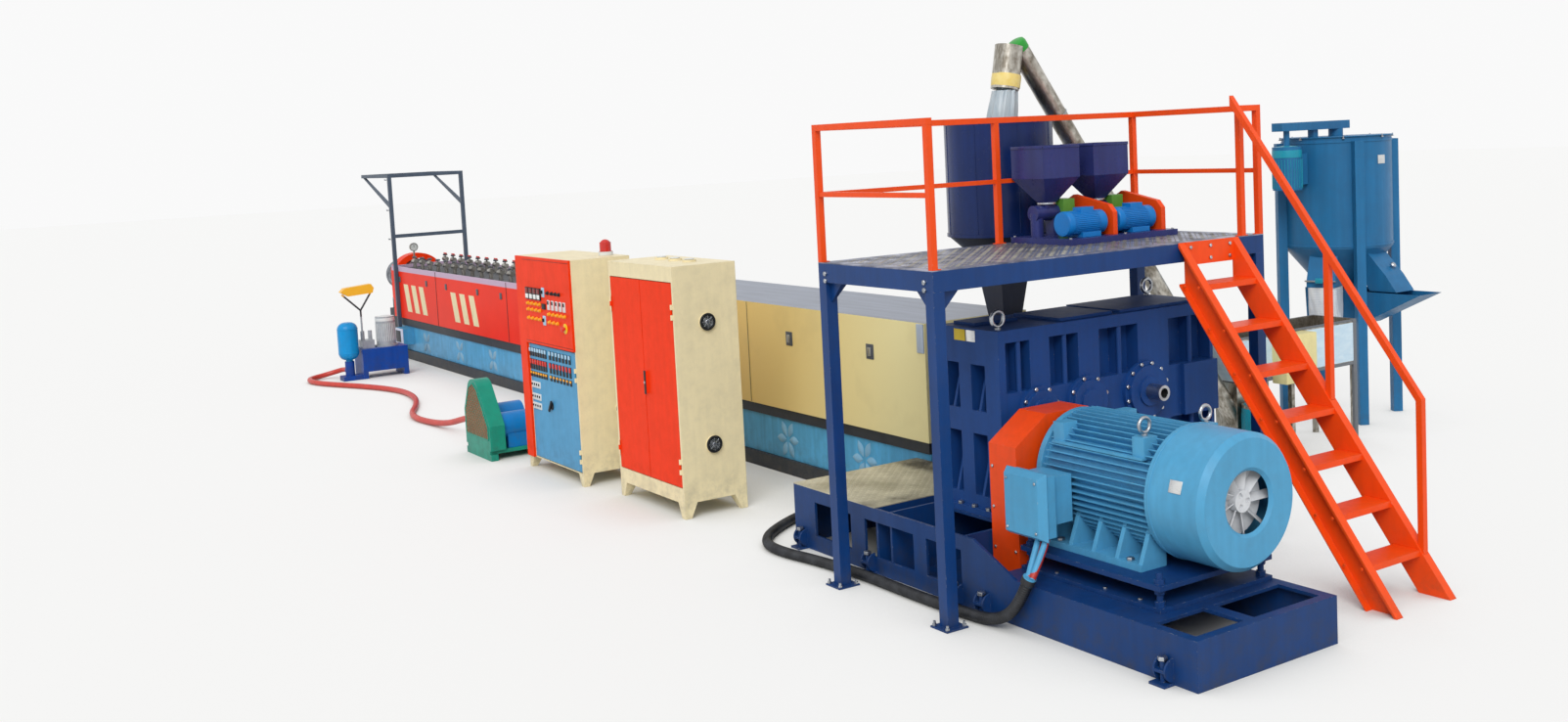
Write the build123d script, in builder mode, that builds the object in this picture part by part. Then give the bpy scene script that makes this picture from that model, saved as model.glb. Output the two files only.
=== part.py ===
from build123d import *
import math
import os

# A foam-sheet extruder, from its main drive to its die end, with its platform, feeders and cabinets.
# X runs along the screw, towards the motor, and the plastic flows towards -X.
# Y runs across the line, and the operator's side is -Y. Z is up, and the floor is z = 0.
# The origin is on the floor in the gearbox's footprint, in the middle of the barrel covers.

os.makedirs("parts", exist_ok=True)

# Driving dimensions, in millimetres

# Drive base
base_start = -1188
base_end = 2631
base_front = -1620
base_back = -520
base_plate = 20
tray_height = 270
pedestal_height = 440
slope_start = 850
slope_end = 1235
tray_start = 1060
window_low = 110
window_high = 350
step_plate_end = -180
step_plate_thickness = 6
foot_radius = 62
foot_ear = 12
foot_bolt = 15

# Gearbox
gearbox_start = 60
gearbox_end = 660
gearbox_front = -1206
gearbox_back = 720
gearbox_height = 1195
gearbox_top = pedestal_height + gearbox_height
gearbox_flange = 40
pocket_depth = 110
rib_radius = 18
lid_thickness = 20

# Screw and barrel
screw_y = 40
screw_z = 1100
barrel_radius = 165
tail_radius = 52
tail_bore = 33
tail_end = 850
shaft_fit = 0.3

# Main motor, frame size 400
motor_y = -936
motor_foot_height = 417
motor_shaft_height = 400
motor_start = 1060
frame_end = 2010
frame_radius = 326
fin_radius = 372
fin_thickness = 7
fin_count = 56
cowl_radius = 382
cowl_wall = 5
cowl_start = 1990
cowl_end = 2400
cowl_opening = 172
fan_radius = 340
fan_hub = 62
fan_shaft = 35
fan_blades = 9
motor_plate = 30

# Belt guard
guard_start = 780
guard_end = 1030
guard_front = -1410
guard_back = -560
guard_bottom = 150
guard_top = 1160
guard_chamfer = 170

# Platform, handrail and stair
platform_start = -180
platform_end = 1020
platform_front = -1962
platform_back = 852
deck_over_gearbox = 465
deck_height = gearbox_top + deck_over_gearbox
deck_thickness = 6
fascia = 120
post_width = 80
post_plate = 160
rail_width = 40
rail_height = 870
mid_rail_height = 430
stair_front = 30
stair_back = 600
stair_foot = 2610
stringer_width = 60
stringer_depth = 170
stringer_web = 8
tread_count = 7
tread_depth = 190
stair_mid_post = 1763
stair_low_post = 2410

# Feeders on the platform
feeder_hopper_x = 40
feeder_first_y = -211
feeder_pitch = 461
feeder_hopper_side = 330
feeder_hopper_top = deck_height + 660
feeder_hopper_break = deck_height + 440
feeder_throat = deck_height + 270
feeder_throat_side = 90
feeder_wall = 5
feeder_motor_x = 330
feeder_motor_radius = 80
feeder_motor_z = deck_height + 134
feeder_plate = 40

# Main hopper
hopper_x = -740
hopper_y = 30
hopper_radius = 400
hopper_wall = 6
throat_top = 1480
hopper_outlet = throat_top + 400
hopper_break = throat_top + 640
hopper_top = hopper_break + 830
outlet_side = 280
throat_side = 170

# Barrel covers
cover_start = -1050
cover_joint = -6300
cover_end = -14100
cover_half_width = 500
skirt_half_width = 470
cover_base_height = 130
cream_band_low = 480
cream_band_high = 570
cream_top = 1476
red_low = 590
red_top = 1335
cover_wall = 20

# Cream cabinet
cabinet_start = -3510
cabinet_end = -2370
cabinet_front = -1890
cabinet_back = -1335
cabinet_foot = 120
cabinet_top = 1964
cabinet_wall = 12
door_low = 240
door_high = 1843
door_side = 22
door_gap = 6
door_middle_gap = 9
door_thickness = 25
hinge_radius = 7
hinge_offset = 9
hinge_length = 40
hinge_gap = 0.3

# Control cabinet
control_start = -5208
control_end = -4000
control_front = -2010
control_back = -1460
control_foot = 108
control_top = 1956
control_strip = 155
control_split = 1166

# Gas pump
pump_x = -5980
pump_y = -1885

# Hydraulic station
tank_start = -12500
tank_end = -12100
tank_front = -1560
tank_back = -960
tank_foot = 90
tank_top = 390

# Mixer
bin_back = 3875
mixer_x = -1346
mixer_y = bin_back + 825
mixer_radius = 500
mixer_wall = 5
mixer_low = 1635
mixer_top = 2670
mixer_outlet = 1231
mixer_outlet_radius = 167
mixer_first_leg = -32

# Screw loader
loader_head = (hopper_x, 240, hopper_top + 560)
loader_foot = (hopper_x, 2490, 360)
loader_radius = 75
film_top = (hopper_x, 110, hopper_top + 230)
film_radius = 130
film_drop = 250

# Free hoses on the floor
conduit_diameter = 72
hose_diameter = 65


def block(x, y, z, mode=Mode.ADD):
    """A rectangular block between the low and high values of x, y and z."""
    with Locations(((x[0] + x[1]) / 2, (y[0] + y[1]) / 2, (z[0] + z[1]) / 2)):
        Box(x[1] - x[0], y[1] - y[0], z[1] - z[0], mode=mode)


def plate_across(outline, y, mode=Mode.ADD):
    """An (x, z) outline extruded across the line, from y[0] to y[1]."""
    with BuildSketch(Plane.XZ.offset(-y[0])) as profile:
        with BuildLine():
            Polyline(*outline, close=True)
        make_face()
    extrude(profile.sketch, amount=y[0] - y[1], mode=mode)


def plate_along(outline, x, mode=Mode.ADD):
    """A (y, z) outline extruded along the line, from x[0] to x[1]."""
    with BuildSketch(Plane.YZ.offset(x[0])) as profile:
        with BuildLine():
            Polyline(*outline, close=True)
        make_face()
    extrude(profile.sketch, amount=x[1] - x[0], mode=mode)


def disc_along(centre, radius, x, mode=Mode.ADD):
    """A round disc or shaft whose axis runs along X, at centre (y, z), from x[0] to x[1]."""
    with BuildSketch(Plane.YZ.offset(x[0])) as profile:
        with Locations(centre):
            Circle(radius)
    extrude(profile.sketch, amount=x[1] - x[0], mode=mode)


def disc_across(centre, radius, y, mode=Mode.ADD):
    """A round disc or shaft whose axis runs along Y, at centre (x, z), from y[0] to y[1]."""
    with BuildSketch(Plane.XZ.offset(-y[0])) as profile:
        with Locations(centre):
            Circle(radius)
    extrude(profile.sketch, amount=y[0] - y[1], mode=mode)


def disc_up(centre, radius, z, mode=Mode.ADD):
    """An upright round disc or post at centre (x, y), from z[0] to z[1]."""
    with BuildSketch(Plane.XY.offset(z[0])) as profile:
        with Locations(centre):
            Circle(radius)
    extrude(profile.sketch, amount=z[1] - z[0], mode=mode)


def round_bar(start, end, radius, mode=Mode.ADD):
    """A round bar from one point to another."""
    run = Vector(*end) - Vector(*start)
    with BuildSketch(Plane(origin=start, z_dir=run)) as profile:
        Circle(radius)
    extrude(profile.sketch, amount=run.length, mode=mode)


def tapered_foot(x, y, top, width, inward_x, inward_y):
    """A sheet-metal cabinet foot: wide at the top, tapering to its corner at the floor."""
    with BuildSketch(Plane.XY) as toe:
        with Locations((x + inward_x * width / 4, y + inward_y * width / 4)):
            Rectangle(width / 2, width / 2)
    with BuildSketch(Plane.XY.offset(top)) as ankle:
        with Locations((x + inward_x * width / 2, y + inward_y * width / 2)):
            Rectangle(width, width)
    loft([toe.sketch, ankle.sketch])


def floor_hose(route, diameter):
    """A hose along straight runs joined by arcs as large as the runs allow."""
    corners = [Vector(*point) for point in route]
    radii = []
    for before, corner, after in zip(corners, corners[1:], corners[2:]):
        inward = corner - before
        outward = after - corner
        turn = math.radians(inward.get_angle(outward))
        radii.append(0.45 * min(inward.length, outward.length) / math.tan(turn / 2))
    print("bend radii in diameters", [round(radius / diameter, 1) for radius in radii])
    with BuildLine() as path:
        FilletPolyline(*route, radius=radii)
    with BuildSketch(Plane(origin=path.line @ 0, z_dir=path.line % 0)) as section:
        Circle(diameter / 2)
    sweep(section.sketch, path=path.line)


def levelling_foot(x, wall, out):
    """A foot on a base wall at y = wall: two half-round ears, a lug, a bolt and a floor pad."""
    ear_height = foot_radius + 14
    for ear in (x - 45, x + 45 - foot_ear):
        with BuildSketch(Plane.YZ.offset(ear)) as half_round:
            with BuildLine():
                Line((wall, ear_height - foot_radius), (wall, ear_height + foot_radius))
                ThreePointArc(
                    (wall, ear_height + foot_radius),
                    (wall + out * foot_radius, ear_height),
                    (wall, ear_height - foot_radius),
                )
            make_face()
        extrude(half_round.sketch, amount=foot_ear)
    reach = wall + out * foot_radius
    low, high = min(wall, reach), max(wall, reach)
    block((x - 45, x + 45), (low, high - 6 if out > 0 else high), (ear_height - 8, ear_height + 8))
    disc_up((x, wall + out * foot_radius / 2), foot_bolt, (0, ear_height + 55))
    pad_reach = wall + out * (foot_radius + 18)
    block((x - 55, x + 55), (min(wall, pad_reach), max(wall, pad_reach)), (0, 14))


def hinge_knuckles(x, face, levels, side):
    """Knuckles on an upright hinge line before a face at y = face, with their leaf on one side of x."""
    line = face - hinge_offset
    near = x + side * 2
    far = x + side * 14
    for level in levels:
        disc_up((x, line), hinge_radius, level)
        block((min(near, far), max(near, far)), (line, face), level)


# Drive base: a welded frame, a tall pedestal under the gearbox and a low tray under the motor,
# with levelling feet on the foot of its long walls
base_outline = [
    (base_start, 0),
    (base_end, 0),
    (base_end, tray_height),
    (slope_end, tray_height),
    (slope_start, pedestal_height),
    (base_start, pedestal_height),
]
base_windows = [(-920, -470), (-306, 240), (374, 728)]
inner_front = base_front + base_plate
inner_back = base_back - base_plate
support_start = -40
support_end = 760
support_back = gearbox_back + 20
opening_start = 2290
opening_end = 2570
with BuildPart() as base_frame:
    for side in (base_front, inner_back):
        plate_across(base_outline, (side, side + base_plate))
    for window in base_windows:
        block(window, (base_front, base_back), (window_low, window_high), Mode.SUBTRACT)
    for x, height in ((base_start, pedestal_height), (step_plate_end - base_plate, pedestal_height)):
        block((x, x + base_plate), (inner_front, inner_back), (0, height))
    for x in (support_start, support_end - base_plate):
        block((x, x + base_plate), (inner_front, support_back), (0, pedestal_height))
    block((support_start, support_end), (support_back - base_plate, support_back), (0, pedestal_height))
    block((support_start, support_end), (inner_front, support_back), (0, base_plate))
    deck_low = pedestal_height - base_plate
    block((support_start, support_end), (gearbox_front - 40, support_back), (deck_low, pedestal_height))
    block((guard_start, guard_end), (inner_front, inner_back), (0, guard_bottom))
    block((tray_start, base_end), (base_front, base_back), (tray_height - base_plate, tray_height))
    block((base_end - base_plate, base_end), (inner_front, inner_back), (0, tray_height))
    for low, high in ((-1560, -1200), (-1120, -590)):
        block((opening_start, opening_end), (low, high), (0, tray_height), Mode.SUBTRACT)
    for x in (-1080, -240, 690, 950, 2420):
        levelling_foot(x, base_front, -1)
    for x in (-760, -240, 950, 2420):
        levelling_foot(x, base_back, 1)
base_frame.part.label = "base_frame"
export_step(base_frame.part, "parts/base_frame.step")

# Chequer step plate over the pedestal's open end
with BuildPart() as step_plate:
    plate_top = pedestal_height + step_plate_thickness
    block((base_start, step_plate_end), (base_front, base_back), (pedestal_height, plate_top))
step_plate.part.label = "step_plate"
export_step(step_plate.part, "parts/step_plate.step")


# Motor slide: two plates on four corner studs, which tension the belts
plate_start = 1080
plate_end = 2210
plate_front = -1440
plate_back = base_back - base_plate - 5
upper_low = motor_foot_height - motor_plate
with BuildPart() as motor_plates:
    block((plate_start, plate_end), (plate_front, plate_back), (tray_height, tray_height + 25))
    block((plate_start, plate_end), (plate_front, plate_back), (upper_low, motor_foot_height))
    for x in (plate_start + 45, plate_end - 45):
        for y in (plate_front + 45, plate_back - 45):
            disc_up((x, y), 18, (tray_height, motor_foot_height + 60))
            for nut in (tray_height + 25, upper_low - 26, motor_foot_height):
                with BuildSketch(Plane.XY.offset(nut)):
                    with Locations((x, y)):
                        RegularPolygon(30, 6)
                extrude(amount=26)
motor_plates.part.label = "motor_plates"
export_step(motor_plates.part, "parts/motor_plates.step")

# Motor housing: a finned casting on two ribbed feet, with end shields and lifting pads
motor_z = motor_foot_height + motor_shaft_height
motor_axis = (motor_y, motor_z)
shield_end = frame_end + 45
with BuildPart() as motor_housing:
    disc_along(motor_axis, frame_radius, (motor_start + 60, frame_end))
    with BuildSketch(Plane.YZ.offset(motor_start + 90)):
        with Locations(motor_axis):
            with PolarLocations(fin_radius - 30, fin_count):
                Rectangle(60, fin_thickness)
    extrude(amount=cowl_start + 15 - motor_start - 90)
    disc_along(motor_axis, fin_radius - 12, (motor_start + 20, motor_start + 60))
    disc_along(motor_axis, 180, (motor_start, motor_start + 20))
    disc_along(motor_axis, 58, (guard_end, motor_start))
    disc_along(motor_axis, frame_radius, (frame_end, shield_end))
    disc_along(motor_axis, 140, (shield_end, shield_end + 40))
    disc_along(motor_axis, fan_shaft, (shield_end + 40, cowl_end - 70))
    foot_top = motor_foot_height + 38
    for side in (-1, 1):
        outer = motor_y + side * 390
        inner = motor_y + side * 190
        block(
            (1180, 1960),
            (min(outer, inner), max(outer, inner)),
            (motor_foot_height, foot_top),
        )
        for x in (1180, 1365, 1555, 1745, 1930):
            rib = [
                (motor_y + side * 380, foot_top),
                (motor_y + side * 300, foot_top + 200),
                (motor_y + side * 190, foot_top + 200),
                (motor_y + side * 190, foot_top),
            ]
            plate_along(rib, (x, x + 30))
        for x in (1180, 1830):
            pad_low = motor_z + 215
            pad = (motor_y + side * 300, motor_y + side * 190)
            block((x, x + 90), (min(pad), max(pad)), (pad_low, motor_z + 330))
        ledge = (motor_y + side * 318, motor_y + side * 230)
        block((1180, 1920), (min(ledge), max(ledge)), (motor_z + 205, motor_z + 220))
motor_housing.part.label = "motor_housing"
export_step(motor_housing.part, "parts/motor_housing.step")

# Terminal box on the operator's side of the motor: bevelled lid, stepped neck, and two cable sleeves
# that lead down into the collar of the conduit
box_front = -1590
conduit_mouth = (1395, -1668, 300)
conduit_second = (1335, -1690, 160)
collar_run = Vector(*conduit_second) - Vector(*conduit_mouth)
collar_start = Vector(*conduit_mouth) - collar_run.normalized() * 45
with BuildPart() as motor_terminal_box:
    block((1150, 1400), (-1470, motor_y - fin_radius), (600, 880))
    block((1110, 1440), (-1540, -1470), (540, 900))
    with BuildSketch(Plane.XZ.offset(1540)):
        with Locations((1275, 720)):
            Rectangle(350, 400)
    with BuildSketch(Plane.XZ.offset(-box_front)):
        with Locations((1275, 720)):
            Rectangle(290, 340)
    loft()
    round_bar(collar_start, conduit_mouth, conduit_diameter / 2 + 4)
    for shift in (-17, 17):
        sleeve_top = (1370 + 2 * shift, -1510, 545)
        sleeve_end = (collar_start.X + shift, collar_start.Y, collar_start.Z - 12)
        round_bar(sleeve_top, sleeve_end, 19)
motor_terminal_box.part.label = "motor_terminal_box"
export_step(motor_terminal_box.part, "parts/motor_terminal_box.step")

# Fan cowl: a pressed drum over the fan, open in the middle of its end
with BuildPart() as motor_cowl:
    with BuildSketch(Plane.XZ.offset(-motor_y)):
        with BuildLine():
            cowl_rim = motor_z + fin_radius + shaft_fit
            Polyline(
                (cowl_start, cowl_rim),
                (cowl_start, motor_z + cowl_radius),
                (cowl_end - 35, motor_z + cowl_radius),
                (cowl_end, motor_z + cowl_radius - 30),
                (cowl_end, motor_z + cowl_opening + 20),
                (cowl_end - 18, motor_z + cowl_opening),
                (cowl_end - 22, motor_z + cowl_opening + 3),
                (cowl_end - cowl_wall, motor_z + cowl_opening + 22),
                (cowl_end - cowl_wall, motor_z + cowl_radius - 32),
                (cowl_end - 36, motor_z + cowl_radius - cowl_wall),
                (cowl_start + 15, motor_z + cowl_radius - cowl_wall),
                (cowl_start + 15, cowl_rim),
                close=True,
            )
        make_face()
    revolve(axis=Axis((0, motor_y, motor_z), (1, 0, 0)))
motor_cowl.part.label = "motor_cowl"
export_step(motor_cowl.part, "parts/motor_cowl.step")

# Cooling fan: nine pitched blades on a hub with three spokes
fan_start = 2290
fan_front = cowl_end - 45
with BuildPart() as motor_fan:
    disc_along(motor_axis, fan_hub, (fan_start, fan_front))
    disc_along(motor_axis, fan_shaft + shaft_fit, (fan_start, cowl_end - 70 + 1), Mode.SUBTRACT)
    with BuildSketch(Plane.YZ.offset(fan_front - 12)):
        with Locations(motor_axis):
            with PolarLocations(36, 3):
                RectangleRounded(34, 26, 8)
    extrude(amount=12, mode=Mode.SUBTRACT)
    disc_along(motor_axis, 200, (fan_start, fan_start + 8))
    disc_along(motor_axis, fan_shaft + shaft_fit, (fan_start, fan_start + 8), Mode.SUBTRACT)
    for blade in range(fan_blades):
        turn = 360 * blade / fan_blades
        blade_plane = Plane(
            origin=(fan_start + 30, motor_y, motor_z),
            z_dir=(0, math.cos(math.radians(turn)), math.sin(math.radians(turn))),
            x_dir=(1, 0, 0),
        )
        with BuildSketch(blade_plane.offset(fan_hub - 8)):
            Rectangle(56, 5, rotation=38)
        extrude(amount=fan_radius - fan_hub + 8)
motor_fan.part.label = "motor_fan"
export_step(motor_fan.part, "parts/motor_fan.step")

# Belt guard between the motor and the gearbox's input shaft
with BuildPart() as belt_guard:
    guard_outline = [
        (guard_front, guard_bottom),
        (guard_front, guard_top - guard_chamfer),
        (guard_front + 1.5 * guard_chamfer, guard_top),
        (guard_back - 1.5 * guard_chamfer, guard_top),
        (guard_back, guard_top - guard_chamfer),
        (guard_back, guard_bottom + guard_chamfer),
        (guard_back - guard_chamfer, guard_bottom),
    ]
    plate_along(guard_outline, (guard_start, guard_end))
belt_guard.part.label = "belt_guard"
export_step(belt_guard.part, "parts/belt_guard.step")

# Gearbox housing: a tall casting with ribbed pockets on its sides
gearbox_low = pedestal_height
upper_pocket = (gearbox_top - 400, gearbox_top - 80)
lower_pocket = (gearbox_low + 80, gearbox_low + 440)
end_pockets = [
    (gearbox_front + 56, gearbox_front + 256),
    (gearbox_front + 421, gearbox_front + 669),
    (gearbox_front + 854, gearbox_front + 1205),
    (gearbox_front + 1496, gearbox_back - 30),
]
side_levels = [(gearbox_top - 525, gearbox_top - 230), (gearbox_low + 120, gearbox_low + 520)]
side_pockets = [(118, 255), (378, 520)]
with BuildPart() as gearbox_housing:
    block((gearbox_start, gearbox_end), (gearbox_front, gearbox_back), (gearbox_low, gearbox_top))
    block(
        (gearbox_start - 30, gearbox_end + 30),
        (gearbox_front - 30, gearbox_back + 15),
        (gearbox_low, gearbox_low + gearbox_flange),
    )
    for pocket in end_pockets:
        for level in (upper_pocket, lower_pocket):
            block((gearbox_end - pocket_depth, gearbox_end), pocket, level, Mode.SUBTRACT)
            middle = (pocket[0] + pocket[1]) / 2
            disc_up((gearbox_end - rib_radius - 6, middle + 20), rib_radius, level)
            block((gearbox_end - pocket_depth, gearbox_end - 30), (middle + 10, middle + 30), level)
    for pocket in side_pockets:
        for level in side_levels:
            for wall, inward in ((gearbox_front, 1), (gearbox_back, -1)):
                floor = wall + inward * pocket_depth
                block(pocket, (min(wall, floor), max(wall, floor)), level, Mode.SUBTRACT)
                web = [
                    (floor, level[1]),
                    (floor, level[0]),
                    (wall + inward * 4, level[0]),
                    (wall + inward * 50, level[0] + 170),
                ]
                rib_x = (pocket[0] + pocket[1]) / 2
                plate_along(web, (rib_x - 11, rib_x + 11))
    block((gearbox_end, gearbox_end + 40), (390, gearbox_back), (885, gearbox_top - 400))
    disc_along((screw_y, screw_z), tail_radius + 20, (560, gearbox_end), Mode.SUBTRACT)
gearbox_housing.part.label = "gearbox_housing"
export_step(gearbox_housing.part, "parts/gearbox_housing.step")

# Gearbox covers: two closed bearing covers on the gear shafts, an open one round the screw's tail,
# and the inspection lids on top
bearing_sizes = [(-903, 157), (-489, 171), (screw_y, 198)]
with BuildPart() as gearbox_covers:
    for y, radius in bearing_sizes:
        centre = (y, screw_z)
        disc_along(centre, radius, (gearbox_end, gearbox_end + 30))
        disc_along(centre, radius - 26, (gearbox_end + 30, gearbox_end + 58))
        disc_along(centre, radius * 0.5, (gearbox_end + 58, gearbox_end + 72))
    disc_along((bearing_sizes[0][0], screw_z), 48, (gearbox_end + 72, guard_start))
    tail_hole = tail_radius + shaft_fit
    disc_along((screw_y, screw_z), tail_hole, (gearbox_end, gearbox_end + 72), Mode.SUBTRACT)
    lid_levels = (gearbox_top, gearbox_top + lid_thickness)
    block((110, 330), (gearbox_front + 86, gearbox_front + 446), lid_levels)
    block((150, 610), (gearbox_front + 566, gearbox_front + 1026), lid_levels)
    block((100, 620), (gearbox_front + 1086, gearbox_back - 80), lid_levels)
gearbox_covers.part.label = "gearbox_covers"
export_step(gearbox_covers.part, "parts/gearbox_covers.step")

# Hollow tail of the screw, where its cooling pipe enters
with BuildPart() as screw_tail:
    disc_along((screw_y, screw_z), tail_radius, (600, tail_end))
    disc_along((screw_y, screw_z), tail_bore, (600, tail_end), Mode.SUBTRACT)
screw_tail.part.label = "screw_tail"
export_step(screw_tail.part, "parts/screw_tail.step")

def lifting_eye(x, y, z, ring):
    """An eye bolt standing on a level face at z."""
    disc_up((x, y), ring * 0.42, (z, z + 12))
    with Locations((x, y, z + ring * 1.45)):
        Torus(ring, ring * 0.25, rotation=(0, 90, 0))
    disc_up((x, y), ring * 0.25, (z + 12, z + ring * 0.5))


# Lifting eyes on the gearbox and on the motor's pads
with BuildPart() as lifting_eyes:
    for side in (-1, 1):
        lifting_eye(1875, motor_y + side * 245, motor_z + 330, 42)
    lifting_eye(590, gearbox_front + 60, gearbox_top, 48)
    lifting_eye(160, gearbox_back - 120, gearbox_top + lid_thickness, 48)
lifting_eyes.part.label = "lifting_eyes"
export_step(lifting_eyes.part, "parts/lifting_eyes.step")

# Feed section: the barrel's first length with its flanges, throat block and pedestal
with BuildPart() as feed_section:
    disc_along((screw_y, screw_z), barrel_radius, (cover_start, gearbox_start))
    disc_along((screw_y, screw_z), barrel_radius + 75, (gearbox_start - 50, gearbox_start))
    block((hopper_x - 170, hopper_x + 170), (screw_y - 200, screw_y + 200), (860, throat_top))
    block((hopper_x - 150, hopper_x + 150), (screw_y - 170, screw_y + 170), (0, 860))
feed_section.part.label = "feed_section"
export_step(feed_section.part, "parts/feed_section.step")

# Main hopper: a rolled drum, open at the top
with BuildPart() as main_hopper:
    disc_up((hopper_x, hopper_y), hopper_radius, (hopper_break, hopper_top))
    disc_up((hopper_x, hopper_y), hopper_radius - hopper_wall, (hopper_break, hopper_top), Mode.SUBTRACT)
main_hopper.part.label = "main_hopper"
export_step(main_hopper.part, "parts/main_hopper.step")

# The drum's cone, and the square outlet from it down to the feed throat
with BuildPart() as hopper_cone:
    with BuildSketch(Plane.XZ.offset(-hopper_y)):
        with BuildLine():
            Polyline(
                (hopper_x + 100, hopper_outlet),
                (hopper_x + outlet_side / 2, hopper_outlet),
                (hopper_x + hopper_radius, hopper_break),
                (hopper_x + hopper_radius - 8, hopper_break),
                (hopper_x + 100, hopper_outlet + 12),
                close=True,
            )
        make_face()
    revolve(axis=Axis((hopper_x, hopper_y, 0), (0, 0, 1)))
    for inset, mode in ((0, Mode.ADD), (hopper_wall, Mode.SUBTRACT)):
        with BuildSketch(Plane.XY.offset(throat_top)):
            with Locations((hopper_x, hopper_y)):
                Rectangle(throat_side - 2 * inset, throat_side - 2 * inset)
        with BuildSketch(Plane.XY.offset(hopper_outlet)):
            with Locations((hopper_x, hopper_y)):
                Rectangle(outlet_side - 2 * inset, outlet_side - 2 * inset)
        loft(mode=mode)
hopper_cone.part.label = "hopper_cone"
export_step(hopper_cone.part, "parts/hopper_cone.step")

# Platform posts, each on its floor plate
post_inset = post_width / 2
platform_corners = [
    (x, y)
    for x in (platform_start + post_inset, platform_end - post_inset)
    for y in (platform_front + post_inset, platform_back - post_inset)
]
fascia_low = deck_height - deck_thickness - fascia
with BuildPart() as platform_posts:
    for x, y in platform_corners:
        block((x - post_inset, x + post_inset), (y - post_inset, y + post_inset), (0, fascia_low))
        half = post_plate / 2
        block((x - half, x + half), (y - half, y + half), (0, 10))
platform_posts.part.label = "platform_posts"
export_step(platform_posts.part, "parts/platform_posts.step")

# Platform frame: a fascia all round, joists under the deck and corner gussets
deck_low = deck_height - deck_thickness
with BuildPart() as platform_frame:
    block((platform_start, platform_end), (platform_front, platform_back), (fascia_low, deck_low))
    block(
        (platform_start + post_width, platform_end - post_width),
        (platform_front + post_width, platform_back - post_width),
        (fascia_low, deck_low),
        Mode.SUBTRACT,
    )
    for y in (-1260, -560, 140):
        joist_x = (platform_start + post_width, platform_end - post_width)
        block(joist_x, (y, y + 50), (fascia_low + 20, deck_low))
    gusset = 130
    for x, y in platform_corners:
        turn_x = 1 if x < (platform_start + platform_end) / 2 else -1
        turn_y = 1 if y < (platform_front + platform_back) / 2 else -1
        edge_x = x + turn_x * post_inset
        edge_y = y + turn_y * post_inset
        in_x = [(edge_x, fascia_low), (edge_x + turn_x * gusset, fascia_low), (edge_x, fascia_low - gusset)]
        in_y = [(edge_y, fascia_low), (edge_y + turn_y * gusset, fascia_low), (edge_y, fascia_low - gusset)]
        plate_across(in_x, (y - 5, y + 5))
        plate_along(in_y, (x - 5, x + 5))
platform_frame.part.label = "platform_frame"
export_step(platform_frame.part, "parts/platform_frame.step")

# Deck plate
with BuildPart() as platform_deck:
    block((platform_start, platform_end), (platform_front, platform_back), (deck_low, deck_height))
platform_deck.part.label = "platform_deck"
export_step(platform_deck.part, "parts/platform_deck.step")

# Handrail posts on the deck's edges, with the side towards the motor left open
rail_half = rail_width / 2
rail_line_start = platform_start + rail_half
rail_line_end = platform_end - rail_half
rail_line_front = platform_front + rail_half
rail_line_back = platform_back - rail_half
rail_top = deck_height + rail_height
gate_post_y = stair_back + 60
handrail_places = [
    (rail_line_start, rail_line_front),
    (rail_line_end, rail_line_front),
    (rail_line_start, -480),
    (rail_line_start, rail_line_back),
    (rail_line_end, rail_line_back),
    (rail_line_end, gate_post_y),
]
with BuildPart() as handrail_posts:
    for x, y in handrail_places:
        post_top = rail_top - rail_width
        block((x - rail_half, x + rail_half), (y - rail_half, y + rail_half), (deck_height, post_top))
handrail_posts.part.label = "handrail_posts"
export_step(handrail_posts.part, "parts/handrail_posts.step")

# Top rails over the posts, and mid rails between them
with BuildPart() as handrail_rails:
    top_band = (rail_top - rail_width, rail_top)
    side_band = (rail_line_start - rail_half, rail_line_start + rail_half)
    block((platform_start, platform_end), (platform_front, platform_front + rail_width), top_band)
    block(side_band, (platform_front + rail_width, platform_back - rail_width), top_band)
    block((platform_start, platform_end), (platform_back - rail_width, platform_back), top_band)
    block(
        (rail_line_end - rail_half, rail_line_end + rail_half),
        (gate_post_y - rail_half, platform_back - rail_width),
        top_band,
    )
    mid_low = deck_height + mid_rail_height - 15
    mid_band = (mid_low, mid_low + 30)
    inner_start = platform_start + rail_width
    inner_end = platform_end - rail_width
    for y in (rail_line_front, rail_line_back):
        block((inner_start, inner_end), (y - 15, y + 15), mid_band)
    for low, high in ((platform_front + rail_width, -500), (-460, platform_back - rail_width)):
        block((rail_line_start - 15, rail_line_start + 15), (low, high), mid_band)
handrail_rails.part.label = "handrail_rails"
export_step(handrail_rails.part, "parts/handrail_rails.step")

# Stair: two channel stringers from the deck's fascia to the floor
stair_run = stair_foot - platform_end
stair_slope = math.atan2(deck_height, stair_run)
depth_along = stringer_depth / math.sin(stair_slope)
with BuildPart() as stair_stringers:
    stringer = [
        (platform_end, deck_height),
        (stair_foot, 0),
        (stair_foot - depth_along, 0),
        (platform_end, deck_height - depth_along * deck_height / stair_run),
    ]
    lip = 10 / math.sin(stair_slope)
    recess = [
        (platform_end - 1, deck_height - lip * 2.2),
        (stair_foot - lip - 4, -4),
        (stair_foot - depth_along + lip, -4),
        (platform_end - 1, deck_height - (depth_along - lip) * deck_height / stair_run),
    ]
    for y, web_side in ((stair_front, 1), (stair_back - stringer_width, -1)):
        plate_across(stringer, (y, y + stringer_width))
        hollow = stringer_width - stringer_web
        hollow_y = (y, y + hollow) if web_side > 0 else (y + stringer_web, y + stringer_width)
        plate_across(recess, hollow_y, Mode.SUBTRACT)
stair_stringers.part.label = "stair_stringers"
export_step(stair_stringers.part, "parts/stair_stringers.step")

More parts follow.
